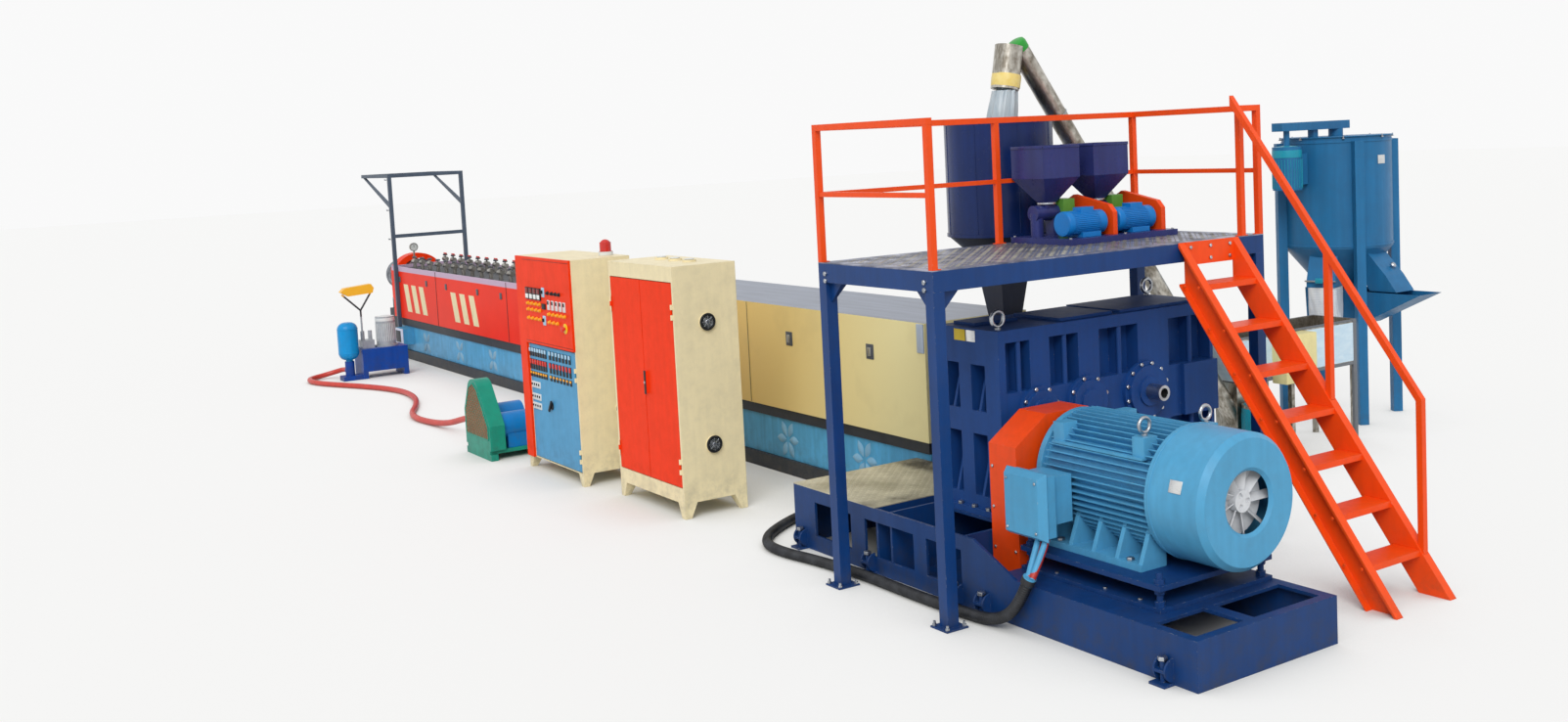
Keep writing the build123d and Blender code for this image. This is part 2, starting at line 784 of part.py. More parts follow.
# Treads: folded plates between the stringers, and the head plate bolted to the fascia
tread_front = stair_front + stringer_width
tread_back = stair_back - stringer_width
riser = deck_height / (tread_count + 1)
with BuildPart() as stair_treads:
    for step in range(1, tread_count + 1):
        height = deck_height - step * riser
        nose = platform_end + stair_run * step / (tread_count + 1)
        tread = [
            (nose, height),
            (nose, height - 38),
            (nose - 6, height - 38),
            (nose - 6, height - 6),
            (nose - tread_depth + 6, height - 6),
            (nose - tread_depth + 6, height - 30),
            (nose - tread_depth, height - 30),
            (nose - tread_depth, height),
        ]
        plate_across(tread, (tread_front, tread_back))
    block((platform_end, platform_end + 12), (tread_front, tread_back), (deck_height - 150, deck_height))
stair_treads.part.label = "stair_treads"
export_step(stair_treads.part, "parts/stair_treads.step")

# Stair handrail on the far stringer
rail_y = stair_back - stringer_width / 2
stair_fall = deck_height / stair_run
low_post_foot = (stair_foot - stair_low_post) * stair_fall
low_rail_height = low_post_foot + rail_height
with BuildPart() as stair_handrail:
    for x in (stair_mid_post, stair_low_post):
        foot = (stair_foot - x) * stair_fall
        post = [
            (x - rail_half, foot + rail_half * stair_fall),
            (x + rail_half, foot - rail_half * stair_fall),
            (x + rail_half, foot + rail_height - rail_half * stair_fall),
            (x - rail_half, foot + rail_height + rail_half * stair_fall),
        ]
        plate_across(post, (rail_y - rail_half, rail_y + rail_half))
    rail_drop = rail_width / math.cos(stair_slope)
    sloped_rail = [
        (platform_end, rail_top),
        (stair_low_post + rail_half, low_rail_height - rail_half * stair_fall),
        (stair_low_post + rail_half, low_rail_height - rail_half * stair_fall + rail_drop),
        (platform_end, rail_top + rail_drop),
    ]
    plate_across(sloped_rail, (rail_y - rail_half, rail_y + rail_half))
stair_handrail.part.label = "stair_handrail"
export_step(stair_handrail.part, "parts/stair_handrail.step")

# Feeders, two alike. Hoppers: open square tops over funnels, in sheet metal
feeder_plate_top = deck_height + feeder_plate
feeder_rows = [feeder_first_y, feeder_first_y + feeder_pitch]
with BuildPart() as feeder_hoppers:
    for y in feeder_rows:
        for inset, mode in ((0, Mode.ADD), (feeder_wall, Mode.SUBTRACT)):
            with BuildSketch(Plane.XY.offset(feeder_throat)):
                with Locations((feeder_hopper_x, y)):
                    Rectangle(feeder_throat_side - 2 * inset, feeder_throat_side - 2 * inset)
            with BuildSketch(Plane.XY.offset(feeder_hopper_break)):
                with Locations((feeder_hopper_x, y)):
                    Rectangle(feeder_hopper_side - 2 * inset, feeder_hopper_side - 2 * inset)
            loft(mode=mode)
            with BuildSketch(Plane.XY.offset(feeder_hopper_break)):
                with Locations((feeder_hopper_x, y)):
                    Rectangle(feeder_hopper_side - 2 * inset, feeder_hopper_side - 2 * inset)
            extrude(amount=feeder_hopper_top - feeder_hopper_break, mode=mode)
feeder_hoppers.part.label = "feeder_hoppers"
export_step(feeder_hoppers.part, "parts/feeder_hoppers.step")

# Feeder barrels with their down spouts and stands, on the plate that carries both feeders
barrel_z = deck_height + 200
barrel_length = 130
reducer_start = 75
reducer_end = 180
guard_line = 250
feeder_guard_depth = 40
with BuildPart() as feeder_barrels:
    plate_reach = (feeder_hopper_x - 170, feeder_motor_x + 150)
    block(plate_reach, (feeder_rows[0] - 190, feeder_rows[1] + 350), (deck_height, feeder_plate_top))
    for y in feeder_rows:
        disc_across((feeder_hopper_x, barrel_z), 55, (y - barrel_length, y + reducer_start))
        block((feeder_hopper_x - 45, feeder_hopper_x + 45), (y - 45, y + 45), (barrel_z, feeder_throat))
        disc_up((feeder_hopper_x, y - 95), 45, (feeder_plate_top, barrel_z))
        block((feeder_hopper_x - 40, feeder_hopper_x + 40), (y + 20, y + 60), (feeder_plate_top, barrel_z))
feeder_barrels.part.label = "feeder_barrels"
export_step(feeder_barrels.part, "parts/feeder_barrels.step")

# Feeder reducers between the barrel and the belt guard
with BuildPart() as feeder_reducers:
    for y in feeder_rows:
        reducer = (y + reducer_start, y + reducer_end)
        block((feeder_hopper_x - 85, feeder_hopper_x + 85), reducer, (feeder_plate_top, barrel_z + 90))
        disc_across((feeder_hopper_x, barrel_z), 30, (y + reducer_end, y + guard_line))
feeder_reducers.part.label = "feeder_reducers"
export_step(feeder_reducers.part, "parts/feeder_reducers.step")

# Feeder motors, each with its foot and terminal box
with BuildPart() as feeder_motors:
    for y in feeder_rows:
        start = y - 130
        end = y + guard_line - 35
        centre = (feeder_motor_x, feeder_motor_z)
        disc_across(centre, feeder_motor_radius, (start, end))
        disc_across(centre, 20, (end, y + guard_line))
        foot_x = (feeder_motor_x - 75, feeder_motor_x + 75)
        block(foot_x, (start + 120, end - 60), (feeder_plate_top, feeder_motor_z - 60))
        box_x = (feeder_motor_x - 40, feeder_motor_x + 40)
        block(box_x, (start + 140, end - 90), (feeder_motor_z, feeder_motor_z + 105))
feeder_motors.part.label = "feeder_motors"
export_step(feeder_motors.part, "parts/feeder_motors.step")

# Feeder belt guards, from each motor back to its reducer
with BuildPart() as feeder_guards:
    for y in feeder_rows:
        guard = [
            (feeder_hopper_x - 100, feeder_plate_top),
            (feeder_motor_x + 95, feeder_plate_top),
            (feeder_motor_x + 95, feeder_motor_z + 60),
            (feeder_motor_x + 50, feeder_motor_z + 110),
            (feeder_hopper_x, barrel_z + 110),
            (feeder_hopper_x - 100, barrel_z + 60),
        ]
        plate_across(guard, (y + guard_line, y + guard_line + feeder_guard_depth))
feeder_guards.part.label = "feeder_guards"
export_step(feeder_guards.part, "parts/feeder_guards.step")

# Cream barrel cover: side panels and lid as one closed housing
with BuildPart() as cream_cover:
    cream_outline = [
        (-cover_half_width, cream_band_high),
        (cover_half_width, cream_band_high),
        (cover_half_width, cream_top),
        (-cover_half_width, cream_top),
    ]
    plate_along(cream_outline, (cover_joint, cover_start))
cream_cover.part.label = "cream_cover"
export_step(cream_cover.part, "parts/cream_cover.step")

# Red barrel cover: hinged side panels and an end panel round an open top
with BuildPart() as red_cover:
    red_wall = cover_half_width - cover_wall
    red_x = (cover_end, cover_joint - 5)
    block(red_x, (-cover_half_width, -red_wall), (red_low, red_top))
    block(red_x, (red_wall, cover_half_width), (red_low, red_top))
    block((cover_end, cover_end + cover_wall), (-red_wall + 1, red_wall - 1), (red_low, red_top))
red_cover.part.label = "red_cover"
export_step(red_cover.part, "parts/red_cover.step")

# Vented skirt below both covers, with a junction box near the die
skirt_x = (cover_end + 40, cover_start - 20)
with BuildPart() as cover_skirt:
    block(skirt_x, (-skirt_half_width, skirt_half_width), (cover_base_height, cream_band_low))
    block((cover_end + 380, cover_end + 730), (-625, -skirt_half_width), (230, 460))
cover_skirt.part.label = "cover_skirt"
export_step(cover_skirt.part, "parts/cover_skirt.step")

# Black frame of the barrel section: floor beams, the bands under the covers and the valve deck
valve_deck = 1290
band_half = skirt_half_width + 15
with BuildPart() as cover_frame:
    block(skirt_x, (-cover_half_width, cover_half_width), (0, cover_base_height))
    block((cover_joint, cover_start - 20), (-band_half, band_half), (cream_band_low, cream_band_high))
    block((cover_end + 20, cover_joint - 5), (-band_half, band_half), (cream_band_low, red_low))
    deck_x = (cover_end + cover_wall + 1, cover_joint - 5)
    block(deck_x, (-red_wall + 1, red_wall - 1), (red_low, valve_deck))
cover_frame.part.label = "cover_frame"
export_step(cover_frame.part, "parts/cover_frame.step")

# Cooling valves on top of the red section, in two rows, and the pressure gauge at its end
valve_count = 20
valve_pitch = 345
first_valve = cover_end + 250
gauge_x = cover_end + 150
with BuildPart() as valve:
    disc_up((0, 0), 26, (0, 70))
    disc_along((0, 95), 32, (-60, 60))
    disc_up((0, 0), 12, (120, 150))
    block((-60, 60), (-10, 10), (150, 160))
valve_places = [
    (first_valve + index * valve_pitch, y, valve_deck) for y in (-230, 230) for index in range(valve_count)
]
with BuildPart() as top_valves:
    with Locations(*valve_places):
        add(valve.part)
    disc_up((gauge_x, -200), 12, (valve_deck, 1540))
    disc_along((-200, 1590), 60, (gauge_x - 14, gauge_x + 14))
top_valves.part.label = "top_valves"
export_step(top_valves.part, "parts/top_valves.step")

# Die end: the barrel's mouth, its clamp and the stand
with BuildPart() as die_stand:
    block((cover_end - 790, cover_end - 5), (-330, 330), (0, 640))
die_stand.part.label = "die_stand"
export_step(die_stand.part, "parts/die_stand.step")

clamp_half = 350
guard_low = 800
with BuildPart() as die_head:
    disc_along((screw_y, screw_z), barrel_radius, (cover_end - 740, cover_end))
    disc_along((screw_y, screw_z), 270, (cover_end - 440, cover_end - 340))
    disc_along((screw_y, screw_z), 270, (cover_end - 790, cover_end - 690))
    disc_along((screw_y, screw_z), 230, (cover_end - 1340, cover_end - 790))
    bed = (cover_end - 690, cover_end - 190)
    block(bed, (screw_y - clamp_half, screw_y + clamp_half), (640, guard_low))
    block((cover_end - 640, cover_end - 240), (-60, 140), (guard_low, screw_z))
die_head.part.label = "die_head"
export_step(die_head.part, "parts/die_head.step")

# Red guard over the die's clamp: a round-topped arch that stands on the clamp's bed
guard_shoulder = 1250
guard_crown = 1460
guard_reach = 280
with BuildPart() as die_guard:
    with BuildSketch(Plane.YZ.offset(cover_end - 670)):
        with BuildLine():
            Line((screw_y - clamp_half, guard_low), (screw_y + clamp_half, guard_low))
            Line((screw_y + clamp_half, guard_low), (screw_y + clamp_half, guard_shoulder))
            ThreePointArc(
                (screw_y + clamp_half, guard_shoulder),
                (screw_y, guard_crown),
                (screw_y - clamp_half, guard_shoulder),
            )
            Line((screw_y - clamp_half, guard_shoulder), (screw_y - clamp_half, guard_low))
        make_face()
    extrude(amount=230)
    bore = (cover_end - 680, cover_end - 430)
    disc_along((screw_y, screw_z), guard_reach, bore, Mode.SUBTRACT)
    block(bore, (screw_y - guard_reach, screw_y + guard_reach), (guard_low, screw_z), Mode.SUBTRACT)
die_guard.part.label = "die_guard"
export_step(die_guard.part, "parts/die_guard.step")

# Portal frame over the die end, with two braced arms that reach towards the haul-off side
portal_x = cover_end + 300
portal_half = cover_half_width + 30
portal_bar = 50
portal_top = 2675
portal_tie = 1750
brace_foot = 2180
arm_reach = 1300
with BuildPart() as portal_frame:
    bar = portal_bar / 2
    for side in (-1, 1):
        y = side * portal_half
        block((portal_x - bar, portal_x + bar), (y - bar, y + bar), (0, portal_top))
        plate = sorted((side * (portal_half - bar), side * (portal_half + 95)))
        block((portal_x - 70, portal_x + 70), plate, (0, 10))
        arm_x = (portal_x - arm_reach, portal_x + bar)
        block(arm_x, (y - bar, y + bar), (portal_top - portal_bar, portal_top))
        brace = [
            (portal_x - bar, brace_foot + 60),
            (portal_x - bar, brace_foot),
            (portal_x - arm_reach + 60, portal_top - portal_bar),
            (portal_x - arm_reach + 130, portal_top - portal_bar),
        ]
        plate_across(brace, (y - 15, y + 15))
    for level in (portal_tie, portal_top - portal_bar):
        block((portal_x - bar, portal_x + bar), (-portal_half, portal_half), (level, level + portal_bar))
    block(
        (portal_x - arm_reach, portal_x - arm_reach + portal_bar),
        (-portal_half, portal_half),
        (portal_top - portal_bar, portal_top),
    )
portal_frame.part.label = "portal_frame"
export_step(portal_frame.part, "parts/portal_frame.step")

# Cream cabinet: a sheet body on four tapered feet, open behind its doors, with two fans on its side
# and three cable vents on its roof
door_line = cabinet_front + door_thickness + door_gap
opening_low = cabinet_start + door_side
opening_high = cabinet_end - door_side
hinge_feet = (door_low + 150, door_high - 250)
door_hinge_start = opening_low + door_gap
door_hinge_end = opening_high - door_gap
with BuildPart() as cabinet_body:
    block((cabinet_start, cabinet_end), (cabinet_front, cabinet_back), (cabinet_foot, cabinet_top))
    block(
        (cabinet_start + cabinet_wall, cabinet_end - cabinet_wall),
        (cabinet_front + door_thickness + 10, cabinet_back - cabinet_wall),
        (door_low - 60, door_high + 60),
        Mode.SUBTRACT,
    )
    block((opening_low, opening_high), (cabinet_front, door_line + 40), (door_low, door_high), Mode.SUBTRACT)
    for x, turn_x in ((cabinet_start, 1), (cabinet_end, -1)):
        for y, turn_y in ((cabinet_front, 1), (cabinet_back, -1)):
            tapered_foot(x, y, cabinet_foot, 110, turn_x, turn_y)
    for foot in hinge_feet:
        collars = [(foot - hinge_length, foot), (foot + hinge_length, foot + 2 * hinge_length)]
        hinge_knuckles(door_hinge_start, cabinet_front, collars, -1)
        hinge_knuckles(door_hinge_end, cabinet_front, collars, 1)
    for level in (554, 1515):
        disc_along((-1612, level), 66, (cabinet_end, cabinet_end + 14))
    for x in (-3180, -2940, -2700):
        disc_up((x, -1560), 55, (cabinet_top, cabinet_top + 16))
cabinet_body.part.label = "cabinet_body"
export_step(cabinet_body.part, "parts/cabinet_body.step")

# Its two doors, which meet in the middle
door_middle = (opening_low + opening_high) / 2
door_levels = (door_low + door_gap, door_high - door_gap)
door_depth = (cabinet_front, cabinet_front + door_thickness)
with BuildPart() as cabinet_door_left:
    block((door_hinge_start, door_middle - door_middle_gap / 2), door_depth, door_levels)
    sleeves = [(foot + hinge_gap, foot + hinge_length - hinge_gap) for foot in hinge_feet]
    hinge_knuckles(door_hinge_start, cabinet_front, sleeves, 1)
cabinet_door_left.part.label = "cabinet_door_left"
export_step(cabinet_door_left.part, "parts/cabinet_door_left.step")

handle_x = door_middle + 40
with BuildPart() as cabinet_door_right:
    block((door_middle + door_middle_gap / 2, door_hinge_end), door_depth, door_levels)
    hinge_knuckles(door_hinge_end, cabinet_front, sleeves, -1)
    block((handle_x - 14, handle_x + 14), (cabinet_front - 22, cabinet_front), (930, 1110))
cabinet_door_right.part.label = "cabinet_door_right"
export_step(cabinet_door_right.part, "parts/cabinet_door_right.step")

# Control cabinet: body on tapered feet, open behind its lower door
strip_end = control_start + control_strip
control_opening = (strip_end + 6, control_end - door_side)
control_levels = (control_foot + 10, control_split)
control_hinge = control_opening[1] - door_gap
control_hinge_feet = (control_levels[0] + 120, control_levels[1] - 220)
with BuildPart() as control_body:
    block((control_start, control_end), (control_front, control_back), (control_foot, control_top))
    block(
        (control_start + cabinet_wall, control_end - cabinet_wall),
        (control_front + door_thickness + 10, control_back - cabinet_wall),
        (control_foot + 60, control_top - cabinet_wall),
        Mode.SUBTRACT,
    )
    block(control_opening, (control_front, control_front + 70), control_levels, Mode.SUBTRACT)
    for x, turn_x in ((control_start, 1), (control_end, -1)):
        for y, turn_y in ((control_front, 1), (control_back, -1)):
            tapered_foot(x, y, control_foot, 100, turn_x, turn_y)
    for foot in control_hinge_feet:
        collars = [(foot - hinge_length, foot), (foot + hinge_length, foot + 2 * hinge_length)]
        hinge_knuckles(control_hinge, control_front, collars, 1)
    for level in (640, 1560):
        disc_along((control_back - 150, level), 66, (control_end, control_end + 14))
control_body.part.label = "control_body"
export_step(control_body.part, "parts/control_body.step")

# Red strip and upper red panel of the control cabinet
panel_thickness = 20
with BuildPart() as control_panel:
    panel_y = (control_front - panel_thickness, control_front)
    block((control_start, strip_end), panel_y, (control_foot, control_top))
    block((strip_end, control_end - 4), panel_y, (control_split + 6, control_top))
control_panel.part.label = "control_panel"
export_step(control_panel.part, "parts/control_panel.step")

# Lower door of the control cabinet
with BuildPart() as control_door:
    block(
        (control_opening[0] + door_gap, control_hinge),
        (control_front, control_front + door_thickness),
        (control_levels[0] + door_gap, control_levels[1] - door_gap),
    )
    sleeves = [(foot + hinge_gap, foot + hinge_length - hinge_gap) for foot in control_hinge_feet]
    hinge_knuckles(control_hinge, control_front, sleeves, -1)
control_door.part.label = "control_door"
export_step(control_door.part, "parts/control_door.step")

# Beacon on the control cabinet's roof
beacon_place = (-4260, -1560)
beacon_radius = 50
with BuildPart() as beacon:
    disc_up(beacon_place, 62, (control_top, control_top + 35))
    disc_up(beacon_place, beacon_radius, (control_top + 35, control_top + 115))
    with Locations((beacon_place[0], beacon_place[1], control_top + 115)):
        Sphere(beacon_radius, arc_size1=0)
beacon.part.label = "beacon"
export_step(beacon.part, "parts/beacon.step")

# Gas pump: a cast base with the arched belt guard on its front
pump_front = pump_y - 335
pump_guard_depth = 150
with BuildPart() as pump_base:
    block((pump_x - 330, pump_x + 330), (pump_front, pump_front + 70), (0, 60))
    block((pump_x - 330, pump_x + 330), (pump_y + 180, pump_y + 300), (0, 60))
    block((pump_x - 300, pump_x + 300), (pump_front, pump_y + 260), (60, 95))
    with BuildSketch(Plane.XZ.offset(-pump_front)):
        with BuildLine():
            Line((pump_x - 330, 95), (pump_x + 330, 95))
            Line((pump_x + 330, 95), (pump_x + 330, 330))
            Line((pump_x + 330, 330), (pump_x + 60, 690))
            ThreePointArc((pump_x + 60, 690), (pump_x - 60, 745), (pump_x - 190, 690))
            Line((pump_x - 190, 690), (pump_x - 330, 430))
            Line((pump_x - 330, 430), (pump_x - 330, 95))
        make_face()
    extrude(amount=-pump_guard_depth)
pump_base.part.label = "pump_base"
export_step(pump_base.part, "parts/pump_base.step")

# Pump head with its inlet flange, and the motor beside it
pump_back = pump_front + pump_guard_depth
flange_x = pump_x - 450
flange_y = pump_y - 20
flange_z = 240
with BuildPart() as pump_drive:
    disc_across((pump_x - 130, 330), 140, (pump_back, pump_y + 150))
    block((pump_x - 240, pump_x - 20), (pump_y - 150, pump_y + 120), (95, 250))
    disc_along((flange_y, flange_z), 60, (flange_x, pump_x - 200))
    disc_along((flange_y, flange_z), 105, (flange_x, flange_x + 40))
    disc_across((pump_x + 170, 300), 125, (pump_back, pump_y + 240))
    block((pump_x + 60, pump_x + 280), (pump_y - 140, pump_y + 180), (95, 230))
pump_drive.part.label = "pump_drive"
export_step(pump_drive.part, "parts/pump_drive.step")

# Hydraulic station: a tank on bent feet, with the accumulator's stand at its front
station_x = (tank_start + tank_end) / 2
accumulator_x = tank_end - 100
accumulator_y = tank_front - 150
accumulator_radius = 130
bottle_foot = 250
socket_x = accumulator_x - 120
socket_z = 120
with BuildPart() as hydraulic_tank:
    block((tank_start, tank_end), (tank_front, tank_back), (tank_foot, tank_top))
    for y in (tank_front, tank_back - 60):
        block((tank_start, tank_end), (y, y + 60), (0, tank_foot))
    stand_x = (accumulator_x - 110, accumulator_x + 90)
    block(stand_x, (accumulator_y - 110, tank_front), (0, 60))
    disc_up((accumulator_x, accumulator_y), 60, (60, bottle_foot))
    disc_along((accumulator_y, socket_z), hose_diameter / 2 + 8, (socket_x, accumulator_x))
hydraulic_tank.part.label = "hydraulic_tank"
export_step(hydraulic_tank.part, "parts/hydraulic_tank.step")

# Hydraulic motor and the valves beside it, on the tank's lid, with the yellow plate on its forked stem
with BuildPart() as hydraulic_pump:
    disc_up((station_x, -1180), 150, (tank_top, tank_top + 20))
    disc_up((station_x, -1180), 125, (tank_top + 20, tank_top + 400))
    block((station_x - 90, station_x + 90), (-1520, -1360), (tank_top, tank_top + 110))
    for y in (-1490, -1390):
        disc_up((station_x, y), 26, (tank_top + 110, tank_top + 230))
    fork = (station_x, -1490, 900)
    round_bar((station_x, -1490, tank_top + 230), fork, 12)
    for end in ((station_x, -1720, 1130), (station_x, -1340, 1130)):
        round_bar(fork, end, 12)
    lever_plate = [(-1745, 1165), (-1650, 1105), (-1330, 1125), (-1310, 1190), (-1345, 1245), (-1690, 1215)]
    plate_along(lever_plate, (station_x - 60, station_x + 60))
hydraulic_pump.part.label = "hydraulic_pump"
export_step(hydraulic_pump.part, "parts/hydraulic_pump.step")

# Accumulator: a pressure bottle with domed ends
with BuildPart() as accumulator:
    bottle = (bottle_foot + 20, bottle_foot + 520)
    disc_up((accumulator_x, accumulator_y), accumulator_radius, bottle)
    fillet(accumulator.edges(), radius=accumulator_radius * 0.75)
    disc_up((accumulator_x, accumulator_y), 45, (bottle_foot, bottle_foot + 40))
accumulator.part.label = "accumulator"
export_step(accumulator.part, "parts/accumulator.step")

# Mixer: a rolled drum, its cone with two chutes, and four legs
with BuildPart() as mixer_silo:
    disc_up((mixer_x, mixer_y), mixer_radius, (mixer_low, mixer_top))
    disc_up((mixer_x, mixer_y), mixer_radius - mixer_wall, (mixer_low, mixer_top), Mode.SUBTRACT)
mixer_silo.part.label = "mixer_silo"
export_step(mixer_silo.part, "parts/mixer_silo.step")

with BuildPart() as mixer_roof:
    disc_up((mixer_x, mixer_y), mixer_radius + 15, (mixer_top, mixer_top + 8))
mixer_roof.part.label = "mixer_roof"
export_step(mixer_roof.part, "parts/mixer_roof.step")

chute_half = 133
front_chute = -70
front_side = [(266, 1282), (533, 1282), (533, 1338), (415, 1600), (289, 1600)]
right_side = [(444, 1231), (733, 1231), (622, 1382), (417, 1600), (289, 1600), (289, 1504)]
with BuildPart() as mixer_chutes:
    for turn, side in ((front_chute, front_side), (0, right_side)):
        out_x = math.cos(math.radians(turn))
        out_y = math.sin(math.radians(turn))
        chute_plane = Plane(origin=(mixer_x, mixer_y, 0), x_dir=(out_x, out_y, 0), z_dir=(out_y, -out_x, 0))
        with BuildSketch(chute_plane) as profile:
            with BuildLine():
                Polyline(*side, close=True)
            make_face()
        extrude(profile.sketch, amount=chute_half, both=True)
    with BuildSketch(Plane.YZ.offset(mixer_x)) as cone_space:
        with BuildLine():
            Polyline(
                (mixer_y, mixer_outlet),
                (mixer_y + mixer_outlet_radius + shaft_fit, mixer_outlet),
                (mixer_y + mixer_radius + shaft_fit, mixer_low),
                (mixer_y, mixer_low),
                close=True,
            )
        make_face()
    revolve(cone_space.sketch, axis=Axis((mixer_x, mixer_y, 0), (0, 0, 1)), mode=Mode.SUBTRACT)
with BuildPart() as mixer_cone:
    with BuildSketch(Plane.XZ.offset(-mixer_y)):
        with BuildLine():
            Polyline(
                (mixer_x + mixer_outlet_radius, mixer_outlet),
                (mixer_x + mixer_radius, mixer_low),
                (mixer_x + mixer_radius - 8, mixer_low),
                (mixer_x + mixer_outlet_radius - 8, mixer_outlet),
                close=True,
            )
        make_face()
    revolve(axis=Axis((mixer_x, mixer_y, 0), (0, 0, 1)))
    add(mixer_chutes.part)
mixer_cone.part.label = "mixer_cone"
export_step(mixer_cone.part, "parts/mixer_cone.step")

leg_width = 86
leg_ring = mixer_radius + leg_width / 2 + shaft_fit
with BuildPart() as mixer_legs:
    for quarter in range(4):
        turn = math.radians(mixer_first_leg + 90 * quarter)
        leg_x = mixer_x + leg_ring * math.cos(turn)
        leg_y = mixer_y + leg_ring * math.sin(turn)
        with BuildSketch(Plane.XY):
            with Locations(Location((leg_x, leg_y, 0), (0, 0, math.degrees(turn)))):
                Rectangle(leg_width, leg_width)
        extrude(amount=mixer_top - 40)
mixer_legs.part.label = "mixer_legs"
export_step(mixer_legs.part, "parts/mixer_legs.step")

# Mixer drive: a belt beam across the roof to the motor that hangs beside the drum
with BuildPart() as mixer_drive:
    drive_y = mixer_y - mixer_radius - 210
    block((mixer_x - 61, mixer_x + 61), (drive_y - 130, mixer_y + 133), (mixer_top + 78, mixer_top + 155))
    disc_up((mixer_x, mixer_y), 67, (mixer_top + 8, mixer_top + 78))
    block((mixer_x - 33, mixer_x + 33), (mixer_y - 366, mixer_y - 300), (mixer_top + 8, mixer_top + 78))
    disc_up((mixer_x, drive_y), 133, (mixer_top - 466, mixer_top - 66))
    disc_up((mixer_x, drive_y), 28, (mixer_top - 66, mixer_top + 78))
    bracket_y = (drive_y + 128, mixer_y - mixer_radius - 2)
    block((mixer_x - 67, mixer_x + 67), bracket_y, (mixer_top - 422, mixer_top - 133))
mixer_drive.part.label = "mixer_drive"
export_step(mixer_drive.part, "parts/mixer_drive.step")

# Filling trough at the foot of the mixer, with a lid where the cone stands on it
trough_low = 916
trough_width = 328
with BuildPart() as mixer_trough:
    for inset, mode in ((0, Mode.ADD), (6, Mode.SUBTRACT)):
        with BuildSketch(Plane.XY.offset(trough_low + inset)):
            with Locations((mixer_x + 44, mixer_y)):
                Rectangle(620 - 2 * inset, 290 - 2 * inset)
        with BuildSketch(Plane.XY.offset(mixer_outlet - 8)):
            with Locations((mixer_x + 366, mixer_y)):
                Rectangle(1265 - 2 * inset, trough_width - 2 * inset)
        loft(mode=mode)
    lid_x = (mixer_x - 266, mixer_x + 211)
    lid_y = (mixer_y - trough_width / 2, mixer_y + trough_width / 2)
    block(lid_x, lid_y, (mixer_outlet - 8, mixer_outlet))
mixer_trough.part.label = "mixer_trough"
export_step(mixer_trough.part, "parts/mixer_trough.step")

# Bag tied under the mixer's front chute
bag_top = 1282
with BuildPart() as outlet_bag:
    bag_x = mixer_x + 400 * math.cos(math.radians(front_chute))
    bag_y = mixer_y + 400 * math.sin(math.radians(front_chute))
    for level, radial, tangential in ((bag_top - 342, 190, 310), (bag_top, 280, 280)):
        with BuildSketch(Plane.XY.offset(level)):
            with Locations(Location((bag_x, bag_y, 0), (0, 0, front_chute))):
                RectangleRounded(radial, tangential, 60)
    loft()
outlet_bag.part.label = "outlet_bag"
export_step(outlet_bag.part, "parts/outlet_bag.step")

# Screw loader: its open feed bin on legs, the chute to the screw's foot with the drive motor beside it,
# the tube up to the main hopper, the bin's control box and the spout at the head
bin_low = 700
bin_top = 1072
bin_x = (-1000, -540)
with BuildPart() as screw_loader:
    bin_side = [(2380, bin_low), (bin_back, bin_low), (bin_back, bin_top), (2120, bin_top)]
    inner_end = bin_back - 5
    inner_low = bin_low + 5
    over_top = bin_top + 8
    bin_inside = [(2383, inner_low), (inner_end, inner_low), (inner_end, over_top), (2121, over_top)]
    plate_along(bin_side, bin_x)
    plate_along(bin_inside, (bin_x[0] + 5, bin_x[1] - 5), Mode.SUBTRACT)
    for x in (bin_x[0], bin_x[1] - 40):
        for y in (3000, bin_back - 40):
            block((x, x + 40), (y, y + 40), (0, bin_low))
    block((bin_x[1], bin_x[1] + 150), (2760, 3150), (650, 1050))
    block((-900, -660), (2450, 2850), (260, bin_low))
    disc_up((-540, 2540), 115, (260, 500))
    round_bar(loader_foot, loader_head, loader_radius)
    round_bar((hopper_x, 170, hopper_top + 550), film_top, film_radius - 25)
    block((-1000, -420), (2420, 2880), (0, 260))
screw_loader.part.label = "screw_loader"
export_step(screw_loader.part, "parts/screw_loader.step")

# Film sleeve from the loader's head down into the drum
with BuildPart() as film_sleeve:
    round_bar(film_top, (hopper_x, 20, hopper_top - film_drop), film_radius)
film_sleeve.part.label = "film_sleeve"
export_step(film_sleeve.part, "parts/film_sleeve.step")

# Conduit of the motor's cables along the floor to the barrel section
conduit_floor = conduit_diameter / 2 + 1
conduit_route = [
    conduit_mouth,
    conduit_second,
    (1215, -1722, 60),
    (1060, -1745, conduit_floor),
    (860, -1757, conduit_floor),
    (480, -1772, conduit_floor),
    (-150, -1760, conduit_floor),
    (-640, -1812, conduit_floor),
    (-960, -1872, conduit_floor),
    (-1200, -1858, conduit_floor),
    (-1400, -1738, conduit_floor),
    (-1560, -1540, conduit_floor),
    (-1690, -1330, conduit_floor),
    (-1790, -1100, conduit_floor),
    (-1850, -870, conduit_floor),
    (-1895, -670, conduit_floor),
    (-1895, -cover_half_width, conduit_floor),
]
with BuildPart() as motor_conduit:
    floor_hose(conduit_route, conduit_diameter)
motor_conduit.part.label = "motor_conduit"
export_step(motor_conduit.part, "parts/motor_conduit.step")

